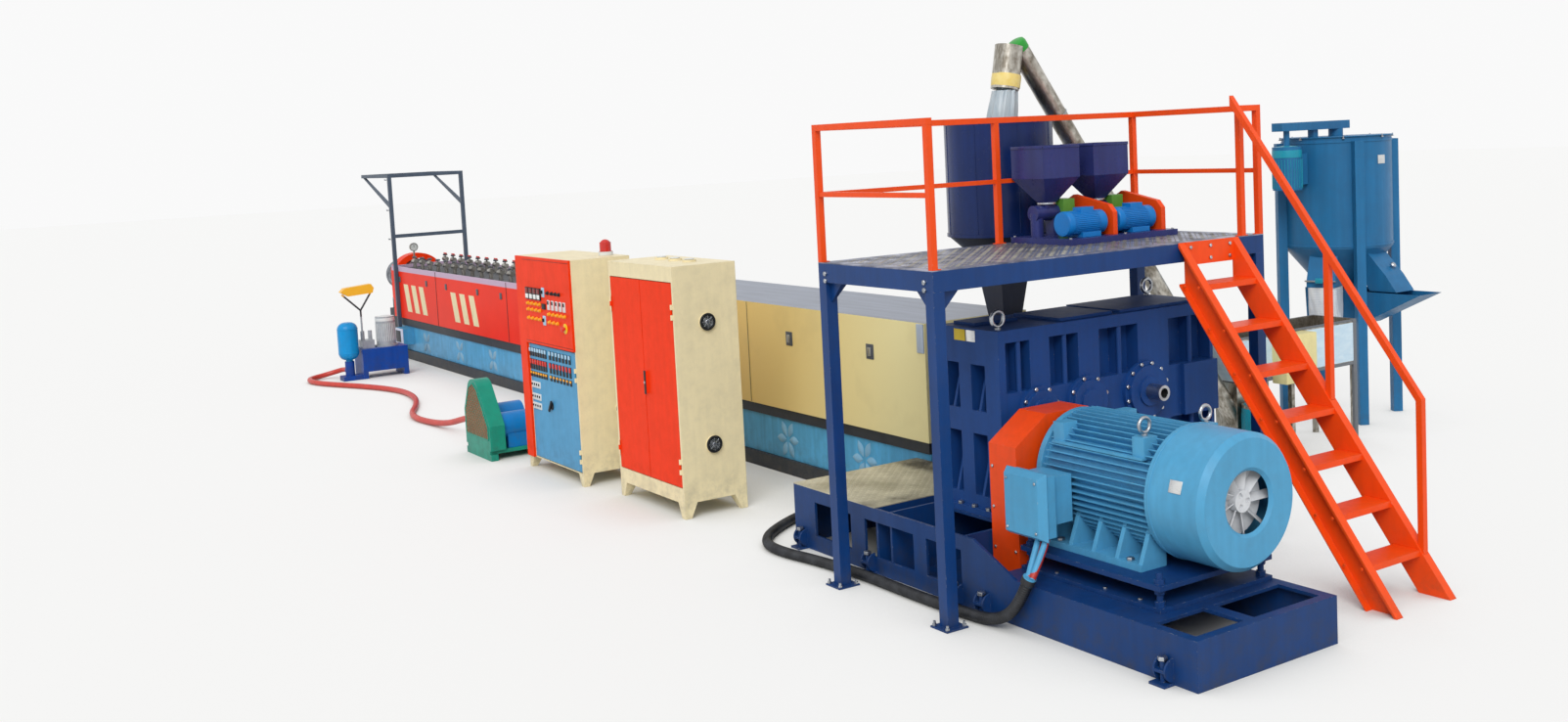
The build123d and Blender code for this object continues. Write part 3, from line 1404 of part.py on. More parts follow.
# Red hose from the pump's flange to the socket under the accumulator
hose_floor = hose_diameter / 2 + 1
hose_route = [
    (flange_x, flange_y, flange_z),
    (-6800, flange_y, flange_z),
    (-7180, -1930, 170),
    (-7560, -1965, 75),
    (-7960, -2010, hose_floor),
    (-8400, -2060, hose_floor),
    (-8787, -1985, hose_floor),
    (-9200, -1800, hose_floor),
    (-9754, -1619, hose_floor),
    (-10338, -1560, hose_floor),
    (-10800, -1643, hose_floor),
    (-11240, -1800, hose_floor),
    (-11640, -1990, hose_floor),
    (-11960, -2130, hose_floor),
    (-12240, -2200, hose_floor),
    (-12470, -2180, hose_floor),
    (-12594, -2090, hose_floor),
    (-12641, -1945, 45),
    (-12594, -1799, 80),
    (-12470, accumulator_y, socket_z),
    (socket_x, accumulator_y, socket_z),
]
with BuildPart() as red_hose:
    floor_hose(hose_route, hose_diameter)
red_hose.part.label = "red_hose"
export_step(red_hose.part, "parts/red_hose.step")
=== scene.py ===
import functools
import math

import bpy
import numpy as np
from mathutils import Matrix, Vector


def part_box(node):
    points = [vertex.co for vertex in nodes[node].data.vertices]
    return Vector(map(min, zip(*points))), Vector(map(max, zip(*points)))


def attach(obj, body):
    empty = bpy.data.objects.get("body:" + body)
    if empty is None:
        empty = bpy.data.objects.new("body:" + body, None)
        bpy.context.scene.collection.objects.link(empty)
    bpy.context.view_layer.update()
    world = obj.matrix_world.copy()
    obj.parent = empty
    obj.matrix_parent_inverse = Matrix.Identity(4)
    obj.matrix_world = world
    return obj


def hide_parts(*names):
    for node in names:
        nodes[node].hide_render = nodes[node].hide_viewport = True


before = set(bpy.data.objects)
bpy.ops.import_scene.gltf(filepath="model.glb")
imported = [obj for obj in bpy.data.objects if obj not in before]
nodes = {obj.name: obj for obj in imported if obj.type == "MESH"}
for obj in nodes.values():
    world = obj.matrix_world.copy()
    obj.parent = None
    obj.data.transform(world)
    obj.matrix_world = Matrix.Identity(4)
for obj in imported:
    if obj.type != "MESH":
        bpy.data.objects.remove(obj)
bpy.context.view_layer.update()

# A foam-sheet extruder: main drive, platform with feeders, mixer, covered barrel, cabinets,
# hydraulics and die end. Lengths are in metres, X runs along the screw and Z is up.
link = bpy.context.scene.collection.objects.link

# Camera: at the height of the platform's deck rail, in front of the motor, looking down the line
# towards the die end. Its lens and shift give the photograph's framing on a 1603 x 738 image.
camera_place = Vector((7.6975, -7.0071, 2.8735))
camera_yaw, camera_pitch, camera_roll = np.radians((145.592, -4.771, -2.745))
image_width = 1603
focal_pixels = 1507.57
shift_pixels = (-81.37, -102.05)
forward = Vector((math.cos(camera_yaw) * math.cos(camera_pitch), math.sin(camera_yaw) * math.cos(camera_pitch),
                  math.sin(camera_pitch)))
level_right = Vector((math.sin(camera_yaw), -math.cos(camera_yaw), 0))
level_up = level_right.cross(forward)
right = math.cos(camera_roll) * level_right + math.sin(camera_roll) * level_up
up = math.cos(camera_roll) * level_up - math.sin(camera_roll) * level_right
lens = bpy.data.cameras.new("camera")
lens.sensor_width = 36
lens.lens = lens.sensor_width * focal_pixels / image_width
lens.shift_x, lens.shift_y = (pixels / image_width for pixels in shift_pixels)
lens.clip_end = 200
camera = bpy.data.objects.new("camera", lens)
camera.matrix_world = Matrix.Translation(camera_place) @ Matrix((right, up, -forward)).transposed().to_4x4()
link(camera)
bpy.context.scene.camera = camera
bpy.context.scene.view_settings.view_transform = "Standard"


# Floor, sky and lamp: a pale sealed floor under plain soft daylight, with one broad lamp from the front
# right, behind the camera, that lights the motor's end and the front of the line about alike.
def linear(code):
    """The linear RGBA of an sRGB hex colour: each channel c becomes ((c + 0.055) / 1.055) to the power 2.4."""
    channels = [int(code[i:i + 2], 16) / 255 for i in (1, 3, 5)]
    return tuple(((c + 0.055) / 1.055) ** 2.4 if c > 0.04 else c / 12.92 for c in channels) + (1,)


def add_node(tree, kind, settings=(), links=()):
    """One shader node: settings name its properties or input sockets, and links join an output, or the first
    output of a node, to each input."""
    node = tree.nodes.new("ShaderNode" + kind)
    for key, value in dict(settings).items():
        if isinstance(key, str) and hasattr(node, key):
            setattr(node, key, value)
        else:
            node.inputs[key].default_value = value
    for key, source in dict(links).items():
        tree.links.new(getattr(source, "outputs", [source])[0], node.inputs[key])
    return node


def new_material(name):
    """An empty node material, the function that adds its nodes, and its object coordinates."""
    material = bpy.data.materials.new(name)
    material.use_nodes = True
    material.node_tree.nodes.clear()
    add = functools.partial(add_node, material.node_tree)
    return material, add, add("TexCoord").outputs["Object"]


def seen_directly(add):
    """1 for rays of the camera, of reflections and through clear pieces, and 0 for the light on the machine."""
    path = add("LightPath").outputs
    seen = add("Math", {"operation": "MAXIMUM"}, {0: path["Is Camera Ray"], 1: path["Is Glossy Ray"]})
    return add("Math", {"operation": "MAXIMUM"}, {0: seen, 1: path["Is Transmission Ray"]})


floor_material, add, _ = new_material("sealed_concrete_floor")
shade = add("TexNoise", {"Scale": 0.6, "Detail": 3})
tone = add("MixRGB", {"Color1": linear("#d3d3cf"), "Color2": linear("#dfdfdb")}, {"Fac": shade})
coat = add("BsdfPrincipled", {"Roughness": 0.6}, {"Base Color": tone})
# The photograph's floor is white: what the camera and reflections see is lifted towards white, and keeps
# a soft shadow, while the light that the floor throws on the machine stays as it is
under = add("AmbientOcclusion", {"Distance": 1.2, "samples": 8})
open_sky = add("MapRange", {"From Min": 0.35, "From Max": 0.9, "To Max": 0.72}, {"Value": under.outputs["AO"]})
lift = add("Math", {"operation": "MULTIPLY"}, {0: seen_directly(add), 1: open_sky})
white = add("Emission", {"Color": (1, 1, 1, 1), "Strength": 1.0})
lifted = add("MixShader", {}, {0: lift, 1: coat, 2: white})
add("OutputMaterial", {}, {"Surface": lifted})
floor_mesh = bpy.data.meshes.new("floor")
floor_mesh.from_pydata([(-90, -60, 0), (60, -60, 0), (60, 90, 0), (-90, 90, 0)], [], [(0, 1, 2, 3)])
floor_mesh.materials.append(floor_material)
floor = bpy.data.objects.new("floor", floor_mesh)
link(floor)

world = bpy.data.worlds.new("daylight")
bpy.context.scene.world = world
world.use_nodes = True
world.node_tree.nodes.clear()
add = functools.partial(add_node, world.node_tree)
level = add("MapRange", {"To Min": 0.66, "To Max": 0.95}, {"Value": seen_directly(add)})
sky = add("Background", {"Color": (1, 1, 1, 1)}, {"Strength": level})
add("OutputWorld", {}, {"Surface": sky})
lamp_data = bpy.data.lights.new("daylight_lamp", "SUN")
lamp_data.energy = 1.8
lamp_data.angle = 0.6
lamp = bpy.data.objects.new("daylight_lamp", lamp_data)
lamp.rotation_euler = (math.radians(50), 0, math.radians(48))
link(lamp)


# Cable conduit: black ribbed polypropylene hose that leaves the motor's terminal box, lies loose
# on the floor and goes in under the barrel section. Extruded and corrugated in one piece.
def as_object(name, points, faces, material, body="machine", slot=None, sharp=30):
    """A mesh object from points and faces, smooth up to the sharp angle, riding on a body, with its finish."""
    mesh = bpy.data.meshes.new(name)
    mesh.from_pydata(np.asarray(points).reshape(-1, 3).tolist(), [], [list(face) for face in faces])
    mesh.shade_smooth()
    mesh.set_sharp_from_angle(angle=math.radians(sharp))
    mesh.materials.append(material)
    piece = bpy.data.objects.new(name, mesh)
    link(piece)
    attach(piece, body)
    return piece


def grid_faces(rows, columns, start=0, closed=True):
    """The quads of a grid of rows x columns points, whose columns join up where the grid is closed."""
    row = np.arange(rows - 1)[:, None]
    column = np.arange(columns if closed else columns - 1)[None, :]
    after = (column + 1) % columns
    quads = np.stack([row * columns + column, row * columns + after,
                      (row + 1) * columns + after, (row + 1) * columns + column], axis=-1)
    return quads.reshape(-1, 4) + start


def capped_faces(rows, columns, start=0):
    """The quads of a closed grid, with one cap over its first row and one over its last."""
    end = start + rows * columns
    return [*grid_faces(rows, columns, start), range(start, start + columns)[::-1], range(end - columns, end)]


def spline_curve(name, route, resolution):
    """The smooth line of a route: a clamped quadratic NURBS whose control points are the route's points."""
    data = bpy.data.curves.new(name, "CURVE")
    data.dimensions = "3D"
    data.resolution_u = resolution
    spline = data.splines.new("NURBS")
    spline.points.add(len(route) - 1)
    for point, place in zip(spline.points, route):
        point.co = (*place, 1)
    spline.order_u = 3
    spline.use_endpoint_u = True
    return data


def evenly(route, pitch):
    """Points a pitch apart along a route's smooth line, or along two points: its length is summed, and each
    coordinate is read off it. Also gives how far along each point lies."""
    places = np.asarray(route, float)
    if len(route) > 2:
        line = bpy.data.objects.new("line", spline_curve("line", route, 12))
        link(line)
        bpy.context.view_layer.update()
        mesh = bpy.data.meshes.new_from_object(line.evaluated_get(bpy.context.evaluated_depsgraph_get()))
        places = np.array([vertex.co[:] for vertex in mesh.vertices])
        bpy.data.objects.remove(line)
    run = np.r_[0, np.cumsum(np.linalg.norm(np.diff(places, axis=0), axis=1))]
    steps = np.linspace(0, run[-1], max(2, int(round(run[-1] / pitch)) + 1))
    return np.stack([np.interp(steps, run, places[:, i]) for i in range(3)], axis=1), steps


def tubes(name, routes, radius, material, sides=12, ripple=0.0, pitch=0.02, **where):
    """Pipes along routes: a ring is centre + r (cos a side + sin a over), where side is level and across the
    line, and over is square to both. Its r may ripple: radius - ripple (1 + cos (2 pi run / pitch)) / 2."""
    points, faces = [], []
    angle = np.linspace(0, 2 * math.pi, sides, endpoint=False)[:, None]
    for route in routes:
        places, run = evenly(route, pitch / 4 if ripple else max(radius * 1.5, 0.01))
        along = np.gradient(places, axis=0)
        along /= np.linalg.norm(along, axis=1)[:, None]
        level = np.cross(along, (0, 0, 1.0))
        size = np.linalg.norm(level, axis=1)[:, None]
        side = np.where(size > 0.05, level / np.maximum(size, 1e-9), np.array([[0, 1.0, 0]]))
        ring = np.cos(angle) * side[:, None] + np.sin(angle) * np.cross(side, along)[:, None]
        radii = radius - ripple * (0.5 + 0.5 * np.cos(2 * math.pi * run / pitch))
        faces += capped_faces(len(places), sides, sum(map(len, points)))
        points.append((places[:, None] + radii[:, None, None] * ring).reshape(-1, 3))
    return as_object(name, np.concatenate(points), faces, material, sharp=70, **where)


conduit_route = [
    (1.395, -1.668, 0.300), (1.335, -1.690, 0.160), (1.215, -1.722, 0.060), (1.060, -1.745, 0.037),
    (0.860, -1.757, 0.037), (0.480, -1.772, 0.037), (-0.150, -1.760, 0.037), (-0.640, -1.812, 0.037),
    (-0.960, -1.872, 0.037), (-1.200, -1.858, 0.037), (-1.400, -1.738, 0.037), (-1.560, -1.540, 0.037),
    (-1.690, -1.330, 0.037), (-1.790, -1.100, 0.037), (-1.850, -0.870, 0.037), (-1.895, -0.670, 0.037),
    (-1.895, -0.500, 0.037),
]
conduit_radius = 0.036
rib_pitch = 0.014

# Polypropylene, moulded: near black with a dull sheen, greyed in patches by floor dust
conduit_black, add, place = new_material("polypropylene_conduit")
dust = add("TexNoise", {"Scale": 9, "Detail": 4}, {"Vector": place})
veil = add("MapRange", {"From Min": 0.48, "From Max": 0.75, "To Max": 0.5}, {"Value": dust})
tone = add("MixRGB", {"Color1": linear("#14161b"), "Color2": linear("#474a50")}, {"Fac": veil})
coat = add("BsdfPrincipled", {"Roughness": 0.45, "IOR": 1.49}, {"Base Color": tone})
add("OutputMaterial", {}, {"Surface": coat})
conduit = tubes("cable_conduit", [conduit_route], conduit_radius, conduit_black, sides=18, ripple=0.0045,
                pitch=rib_pitch)
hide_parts("motor_conduit")
conduit_places, conduit_run = evenly(conduit_route, rib_pitch / 4)


# Air hose: red PVC lay-flat hose from the pump's flange along the floor to the accumulator's foot.
# Woven polyester covered with PVC, so it lies soft and a little slack.
def plastic(name, dark, light, scale, detail, rough, ior, dent=None, stretch=None, edge=None, warp=0.0,
            clear=0.0):
    """Plastic or rubber. Its colour runs from the dark to the light one by noise, stretched the way that it was
    drawn, and the same noise may dent its skin, or its moulded edges are rounded."""
    material, add, place = new_material(name)
    if stretch:
        place = add("Mapping", stretch, {"Vector": place})
    blotch = add("TexNoise", {"Scale": scale, "Detail": detail, "Distortion": warp}, {"Vector": place})
    tone = add("MixRGB", {"Color1": linear(dark), "Color2": linear(light)}, {"Fac": blotch})
    look = {"Base Color": tone}
    if dent:
        look["Normal"] = add("Bump", {"Strength": dent[0], "Distance": dent[1]}, {"Height": blotch})
    if edge:
        look["Normal"] = add("Bevel", {"Radius": edge, "samples": 4})
    coat = add("BsdfPrincipled", {"Roughness": rough, "IOR": ior, "Transmission Weight": clear}, look)
    add("OutputMaterial", {}, {"Surface": coat})
    return material


hose_route = [
    (-6.430, -1.905, 0.240), (-6.800, -1.905, 0.240), (-7.180, -1.930, 0.170), (-7.560, -1.965, 0.075),
    (-7.960, -2.010, 0.0335), (-8.400, -2.060, 0.0335), (-8.787, -1.985, 0.0335), (-9.200, -1.800, 0.0335),
    (-9.754, -1.619, 0.0335), (-10.338, -1.560, 0.0335), (-10.800, -1.643, 0.0335), (-11.240, -1.800, 0.0335),
    (-11.640, -1.990, 0.0335), (-11.960, -2.130, 0.0335), (-12.240, -2.200, 0.0335), (-12.470, -2.180, 0.0335),
    (-12.594, -2.090, 0.0335), (-12.641, -1.945, 0.045), (-12.594, -1.799, 0.080), (-12.470, -1.710, 0.120),
    (-12.320, -1.710, 0.120),
]
hose_radius = 0.0325
hose_data = spline_curve("air_hose", hose_route, 10)
hose_data.bevel_depth = hose_radius
hose_data.bevel_resolution = 5
hose_data.use_fill_caps = True
hose_data.materials.append(plastic("pvc_lay_flat_hose", "#a8231c", "#d4402f", 14, 3, 0.38, 1.53,
                                   dent=(0.3, 0.01)))
air_hose = bpy.data.objects.new("air_hose", hose_data)
link(air_hose)
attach(air_hose, "machine")
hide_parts("red_hose")
float(evenly(hose_route, 0.02)[1][-1])


# Drive base: two welded plate walls with windows, a tall pedestal for the gearbox and a low tray for
# the motor. Mild steel, gas-cut and welded, sprayed with navy machine enamel that has chipped at its edges.
def enamel(name, paint, worn="#8b8f92", grime="#4a463f", floor_reach=0.35, wear=0.5, rough=0.42,
           mottle=0.12, grain=260, shine=0.25):
    """Sprayed machine enamel. Colour = paint, mottled by slow noise, streaked down by stretched noise,
    darkened by grime that thins out with height, and rubbed to the worn colour where the bevelled
    normal leaves the flat one. Fine noise gives the spray's orange peel."""
    material, add, place = new_material(name)
    slow = add("TexNoise", {"Scale": 2.2, "Detail": 5, "Roughness": 0.6}, {"Vector": place})
    tall = add("Mapping", {"Scale": (14, 14, 0.9)}, {"Vector": place})
    streak = add("TexNoise", {"Scale": 1.4, "Detail": 4}, {"Vector": tall})
    both = add("Math", {"operation": "MULTIPLY"}, {0: slow, 1: streak})
    shade = add("MapRange", {"From Min": 0.12, "From Max": 0.42, "To Min": -mottle, "To Max": mottle},
                {"Value": both})
    shift = add("Math", {"operation": "ADD", 1: 1.0}, {0: shade})
    tinted = add("VectorMath", {"operation": "SCALE", 0: linear(paint)[:3]}, {"Scale": shift})
    height = add("SeparateXYZ", {}, {"Vector": place})
    low = add("MapRange", {"From Max": floor_reach, "To Min": 1.0, "To Max": 0.22}, {"Value": height.outputs["Z"]})
    splash = add("TexNoise", {"Scale": 9, "Detail": 6, "Roughness": 0.7}, {"Vector": place})
    spots = add("MapRange", {"From Min": 0.42, "From Max": 0.78, "To Max": 0.75}, {"Value": splash})
    dirt = add("Math", {"operation": "MULTIPLY"}, {0: spots, 1: low})
    soiled = add("MixRGB", {"Color2": linear(grime)}, {"Fac": dirt, "Color1": tinted})
    rounded = add("Bevel", {"Radius": 0.004, "samples": 4})
    flat = add("NewGeometry")
    alike = add("VectorMath", {"operation": "DOT_PRODUCT"}, {0: rounded, 1: flat.outputs["Normal"]})
    chips = add("TexNoise", {"Scale": 38, "Detail": 5, "Roughness": 0.75}, {"Vector": place})
    corner = add("MapRange", {"From Min": 0.995, "From Max": 0.9}, {"Value": alike.outputs["Value"]})
    chip = add("MapRange", {"From Min": 0.66 - 0.22 * wear, "From Max": 0.72 - 0.22 * wear}, {"Value": chips})
    bare = add("Math", {"operation": "MULTIPLY"}, {0: corner, 1: chip})
    final = add("MixRGB", {"Color2": linear(worn)}, {"Fac": bare, "Color1": soiled})
    dull = add("MapRange", {"To Min": rough - 0.06, "To Max": rough + 0.16}, {"Value": splash})
    peel = add("TexNoise", {"Scale": grain, "Detail": 2}, {"Vector": place})
    skin = add("Bump", {"Strength": 0.12, "Distance": 0.002}, {"Height": peel, "Normal": rounded})
    coat = add("BsdfPrincipled", {"IOR": 1.5, "Specular IOR Level": shine},
               {"Base Color": final, "Roughness": dull, "Normal": skin})
    add("OutputMaterial", {}, {"Surface": coat})
    return material


def finish_nodes(material, *names):
    """Gives CAD nodes their finish: every material slot of their meshes takes the material."""
    for name in names:
        nodes[name].data.materials.clear()
        nodes[name].data.materials.append(material)


def metal(name, base, dark, rough=0.34, streaks=(1, 1, 60), grain=12.0):
    """Bare metal. Colour runs between the base and the dark one with noise stretched the way that it was
    rolled, turned or ground, and its roughness follows the same noise."""
    material, add, place = new_material(name)
    drawn = add("Mapping", {"Scale": streaks}, {"Vector": place})
    lines = add("TexNoise", {"Scale": grain, "Detail": 4}, {"Vector": drawn})
    stain = add("TexNoise", {"Scale": 6, "Detail": 5}, {"Vector": place})
    both = add("Math", {"operation": "MULTIPLY"}, {0: lines, 1: stain})
    blend = add("MapRange", {"From Min": 0.14, "From Max": 0.36}, {"Value": both})
    tone = add("MixRGB", {"Color1": linear(dark), "Color2": linear(base)}, {"Fac": blend})
    dull = add("MapRange", {"To Min": rough + 0.14, "To Max": rough - 0.05}, {"Value": blend})
    rounded = add("Bevel", {"Radius": 0.002, "samples": 4})
    skin = add("Bump", {"Strength": 0.08, "Distance": 0.001}, {"Height": lines, "Normal": rounded})
    coat = add("BsdfPrincipled", {"Metallic": 1.0}, {"Base Color": tone, "Roughness": dull, "Normal": skin})
    add("OutputMaterial", {}, {"Surface": coat})
    return material


def turned(name, profile, centres, material, axis=(0, 0, 1), sides=24, **where):
    """Like turned pieces on parallel axes: a profile of (radius, height) is carried round the axis, so a point
    is centre + height * axis + radius (cos a * u + sin a * v), with u and v square to the axis. A profile
    whose two ends stand off the axis closes on itself into a ring, and any other gets a cap at each end."""
    axis = np.asarray(axis, float) / np.linalg.norm(axis)
    u = np.cross(axis, (0, 0, 1.0) if abs(axis[2]) < 0.9 else (1.0, 0, 0))
    u /= np.linalg.norm(u)
    angle = np.linspace(0, 2 * math.pi, sides, endpoint=False)[:, None]
    radii, heights = np.asarray(profile, float).T[:, :, None, None]
    piece = heights * axis + radii * (np.cos(angle) * u + np.sin(angle) * np.cross(axis, u))
    points = np.asarray(centres, float)[:, None, None] + piece
    rows, size = len(profile), len(profile) * sides
    is_ring = min(profile[0][0], profile[-1][0]) > 0.001
    faces = []
    for start in range(0, len(centres) * size, size):
        faces += list(grid_faces(rows + 1, sides) % size + start) if is_ring else capped_faces(rows, sides, start)
    return as_object(name, points, faces, material, **where)


def rounded_boxes(name, boxes, radius, material, steps=2, turn=None, **where):
    """Like boxes with rounded edges: a point is centre + sign(d) * (half size - radius) + radius * d, where d
    runs over the unit sphere in steps for each quarter. A turn matrix leans each box about its centre."""
    boxes = np.asarray(boxes, float)
    half = np.abs(boxes[:, 1] - boxes[:, 0]) / 2
    radius = np.minimum(radius, half.min(axis=1) * 0.98)[:, None, None]
    quarter = np.linspace(0.0, 1.0, steps + 1) * 0.998
    around = np.concatenate([quarter + q + 0.001 for q in range(4)]) * math.pi / 2
    polar = np.concatenate([quarter - 1, quarter + 0.001]) * math.pi / 2
    a, p = np.meshgrid(around, polar)
    d = np.stack([np.cos(p) * np.cos(a), np.cos(p) * np.sin(a), np.sin(p)], axis=-1).reshape(-1, 3)
    local = np.sign(d) * (half[:, None] - radius) + radius * d
    if turn is not None:
        local = local @ np.asarray(turn).T
    faces = []
    for copy in range(len(boxes)):
        faces += capped_faces(len(polar), len(around), copy * len(d))
    return as_object(name, boxes.mean(axis=1)[:, None] + local, faces, material, **where)


def on_circle(u, v, radius, degrees):
    """Places on a circle: u + radius cos a and v + radius sin a, for angles a in degrees."""
    return [(u + radius * math.cos(a), v + radius * math.sin(a)) for a in np.radians(degrees)]


bright_zinc = metal("zinc_plated_steel", "#c9ccd0", "#8f949a", rough=0.3)
to_front = (0, -1, 0)
to_motor = (1, 0, 0)


def bolts(name, head, spots, axis=(0, 0, 1), material=bright_zinc, sides=6, **where):
    """Bolt heads, nuts and caps: a head of (radius, side, crown, height) goes up its side and over a chamfer to
    its crown, and may rise to a tip in the middle."""
    radius, side, crown, height, tip = (*head, head[3])[:5]
    profile = [(0.0001, 0), (radius, 0), (radius, side), (crown, height), (0.0001, tip)]
    return turned(name, profile, spots, material, axis, sides, **where)


finish_nodes(enamel("navy_machine_enamel", "#0e3870", grime="#3b3a38"), "base_frame", "motor_plates")

# Hexagon heads of the tray's bolts, M16, of the motor's feet, and the nuts of the levelling feet
motor_y, motor_z = -0.936, 0.817
bolts("slide_bolts", (0.0135, 0.0075, 0.0115, 0.01), [(x, y, 0.295) for x in (1.35, 1.75, 2.02) for y in (-1.4, -0.58)])
tray_bolt = np.array([(0.0001, 0), (0.0135, 0), (0.0135, 0.0075), (0.0115, 0.01), (0.0001, 0.01)])
turned("motor_foot_bolts", 1.8 * tray_bolt,
       [(x, motor_y + side, 0.455) for x in (1.27, 1.84) for side in (-0.35, 0.35)], bright_zinc, sides=6)
bolts("levelling_nuts", (0.027, 0.017, 0.023, 0.02), [(x, -1.651, 0.129) for x in (-1.08, -0.24, 0.69, 0.95, 2.42)])

# Step plate: rolled mild steel chequer plate, unpainted, worn bright where it is walked on, and darker in
# patches towards its back and its barrel end
chequer_steel, add, place = new_material("rolled_chequer_steel")
tread_wear = add("TexNoise", {"Scale": 3.2, "Detail": 6, "Roughness": 0.65}, {"Vector": place})
worn = add("MapRange", {"From Min": 0.35, "From Max": 0.68}, {"Value": tread_wear})
tone = add("MixRGB", {"Color1": linear("#a9a48d"), "Color2": linear("#d8d3bd")}, {"Fac": worn})
along = add("SeparateXYZ", {}, {"Vector": place}).outputs
back = add("MapRange", {"From Min": -1.05, "From Max": -0.62}, {"Value": along["Y"]})
end = add("MapRange", {"From Min": -0.75, "From Max": -0.3, "To Max": 0.8}, {"Value": along["X"]})
near = add("Math", {"operation": "MAXIMUM"}, {0: back, 1: end})
broken = add("Math", {"operation": "MULTIPLY_ADD", 2: 0.45}, {0: tread_wear, 1: near})
dark_patch_mask = add("MapRange", {"From Min": 0.78, "From Max": 0.98, "To Max": 0.85}, {"Value": broken})
back_darkened = add("MixRGB", {"Color2": linear("#2f2b26")}, {"Fac": dark_patch_mask, "Color1": tone})
coat = add("BsdfPrincipled", {"Metallic": 0.35, "Roughness": 0.48}, {"Base Color": back_darkened})
add("OutputMaterial", {}, {"Surface": coat})


def chequer_studs(name, low, high, pitch=0.034, length=0.024, width=0.008, rise=0.0022):
    """The raised lozenges of chequer plate, in rows turned by 45 degrees one way and the other. Each is a low
    mound of four foot corners and a ridge: x = l cos t - w sin t, y = l sin t + w cos t."""
    shape = np.array([(-1, 0, 0), (0, -1, 0), (1, 0, 0), (0, 1, 0), (-0.4, 0, 1), (0.4, 0, 1)], float)
    l, w, h = (shape * (length / 2, width / 2, rise)).T
    columns, rows = (int((high[i] - low[i] - length) / pitch) for i in (0, 1))
    column, row = (index.ravel() for index in np.meshgrid(np.arange(columns), np.arange(rows), indexing="ij"))
    turn = np.where((column + row) % 2 == 0, math.pi / 4, -math.pi / 4)
    c, s = np.cos(turn)[:, None], np.sin(turn)[:, None]
    x = (low[0] + high[0] - (columns - 1) * pitch) / 2 + column[:, None] * pitch
    y = (low[1] + high[1] - (rows - 1) * pitch) / 2 + row[:, None] * pitch
    points = np.stack([x + c * l - s * w, y + s * l + c * w, high[2] + h + 0 * x], axis=-1)
    first = 6 * np.arange(len(x))[:, None, None]
    slopes = (first + np.array([(0, 1, 4), (1, 5, 4), (1, 2, 5), (2, 3, 5), (3, 4, 5), (3, 0, 4)])).reshape(-1, 3)
    base = (first + np.array([(3, 2, 1, 0)])).reshape(-1, 4)
    return as_object(name, points, [*slopes, *base], chequer_steel, sharp=10)


finish_nodes(chequer_steel, "step_plate")
chequer_studs("step_plate_studs", *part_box("step_plate"))

# Main motor: a finned cast iron frame with end shields, in light blue stove enamel, with the rolled bead of
# its cowl and a bare aluminium rating plate on the cowl's front, blank
motor_enamel = enamel("light_blue_stove_enamel", "#529fc9", worn="#b9c2c6", grime="#57636a", wear=0.3,
                      rough=0.36, floor_reach=0.2, mottle=0.08)
finish_nodes(motor_enamel, "motor_housing", "motor_cowl", "motor_terminal_box")
bead_profile = [(0.3835, -0.006), (0.3865, -0.004), (0.3865, 0.004), (0.3835, 0.006), (0.381, 0.006), (0.381, -0.006)]
turned("cowl_bead", bead_profile, [(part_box("motor_cowl")[0].x + 0.03, motor_y, motor_z)], motor_enamel, to_motor,
       sides=96)
plate_aluminium = metal("anodised_aluminium_plate", "#e4e5e4", "#c6c8c8", rough=0.35, grain=30)
cowl_radius = 0.3835
tilt = math.radians(18)
plate_middle = np.array((2.21, motor_y - cowl_radius * math.cos(tilt), motor_z + cowl_radius * math.sin(tilt)))
plate_half = np.array((0.045, 0.0015, 0.035))
rounded_boxes("rating_plate", [[plate_middle - plate_half, plate_middle + plate_half]], 0.002, plate_aluminium,
              turn=Matrix.Rotation(-tilt, 3, "X"))

# Cooling fan and cable sleeves: the fan is moulded nylon, pale grey with dust in patches, and two
# cables in red rubber leave the screwed terminal box for the conduit's gland
finish_nodes(plastic("moulded_nylon_fan", "#b9bcc0", "#e6e7ea", 18, 4, 0.5, 1.53, edge=0.003), "motor_fan")
bolts("terminal_lid_screws", (0.009, 0.005, 0.006, 0.008), [(x, -1.59, z) for x in (1.15, 1.4) for z in (0.575, 0.865)],
      to_front, sides=12)
red_rubber = plastic("red_rubber_sleeve", "#8e1d17", "#c8382b", 25, 3, 0.5, 1.52)
tubes("cable_sleeves", [[(1.336, -1.51, 0.552), (1.352, -1.545, 0.46), (1.396, -1.655, 0.334)],
                        [(1.404, -1.51, 0.552), (1.41, -1.55, 0.46), (1.43, -1.66, 0.334)]], 0.0205, red_rubber,
      sides=14)
bolts("conduit_gland", (0.043, 0.03, 0.038, 0.042), [(1.395, -1.668, 0.302)], (0.39, 0.14, 0.91), conduit_black,
      sides=24)
finish_nodes(bright_zinc, "lifting_eyes")

# Belt guard: folded and welded sheet steel, sprayed signal orange and held by a column of screws
# along both its edges
orange_enamel = enamel("signal_orange_enamel", "#f04b10", worn="#b7a89f", grime="#7c4a35", wear=0.25, rough=0.34,
                       floor_reach=0.3, mottle=0.06)
finish_nodes(orange_enamel, "belt_guard")
guard_low, guard_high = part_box("belt_guard")
bolts("guard_screws", (0.011, 0.006, 0.007, 0.009),
      [(x, guard_low.y, z) for x in (guard_low.x + 0.03, guard_high.x - 0.03) for z in (0.35, 0.6, 0.85)], to_front)

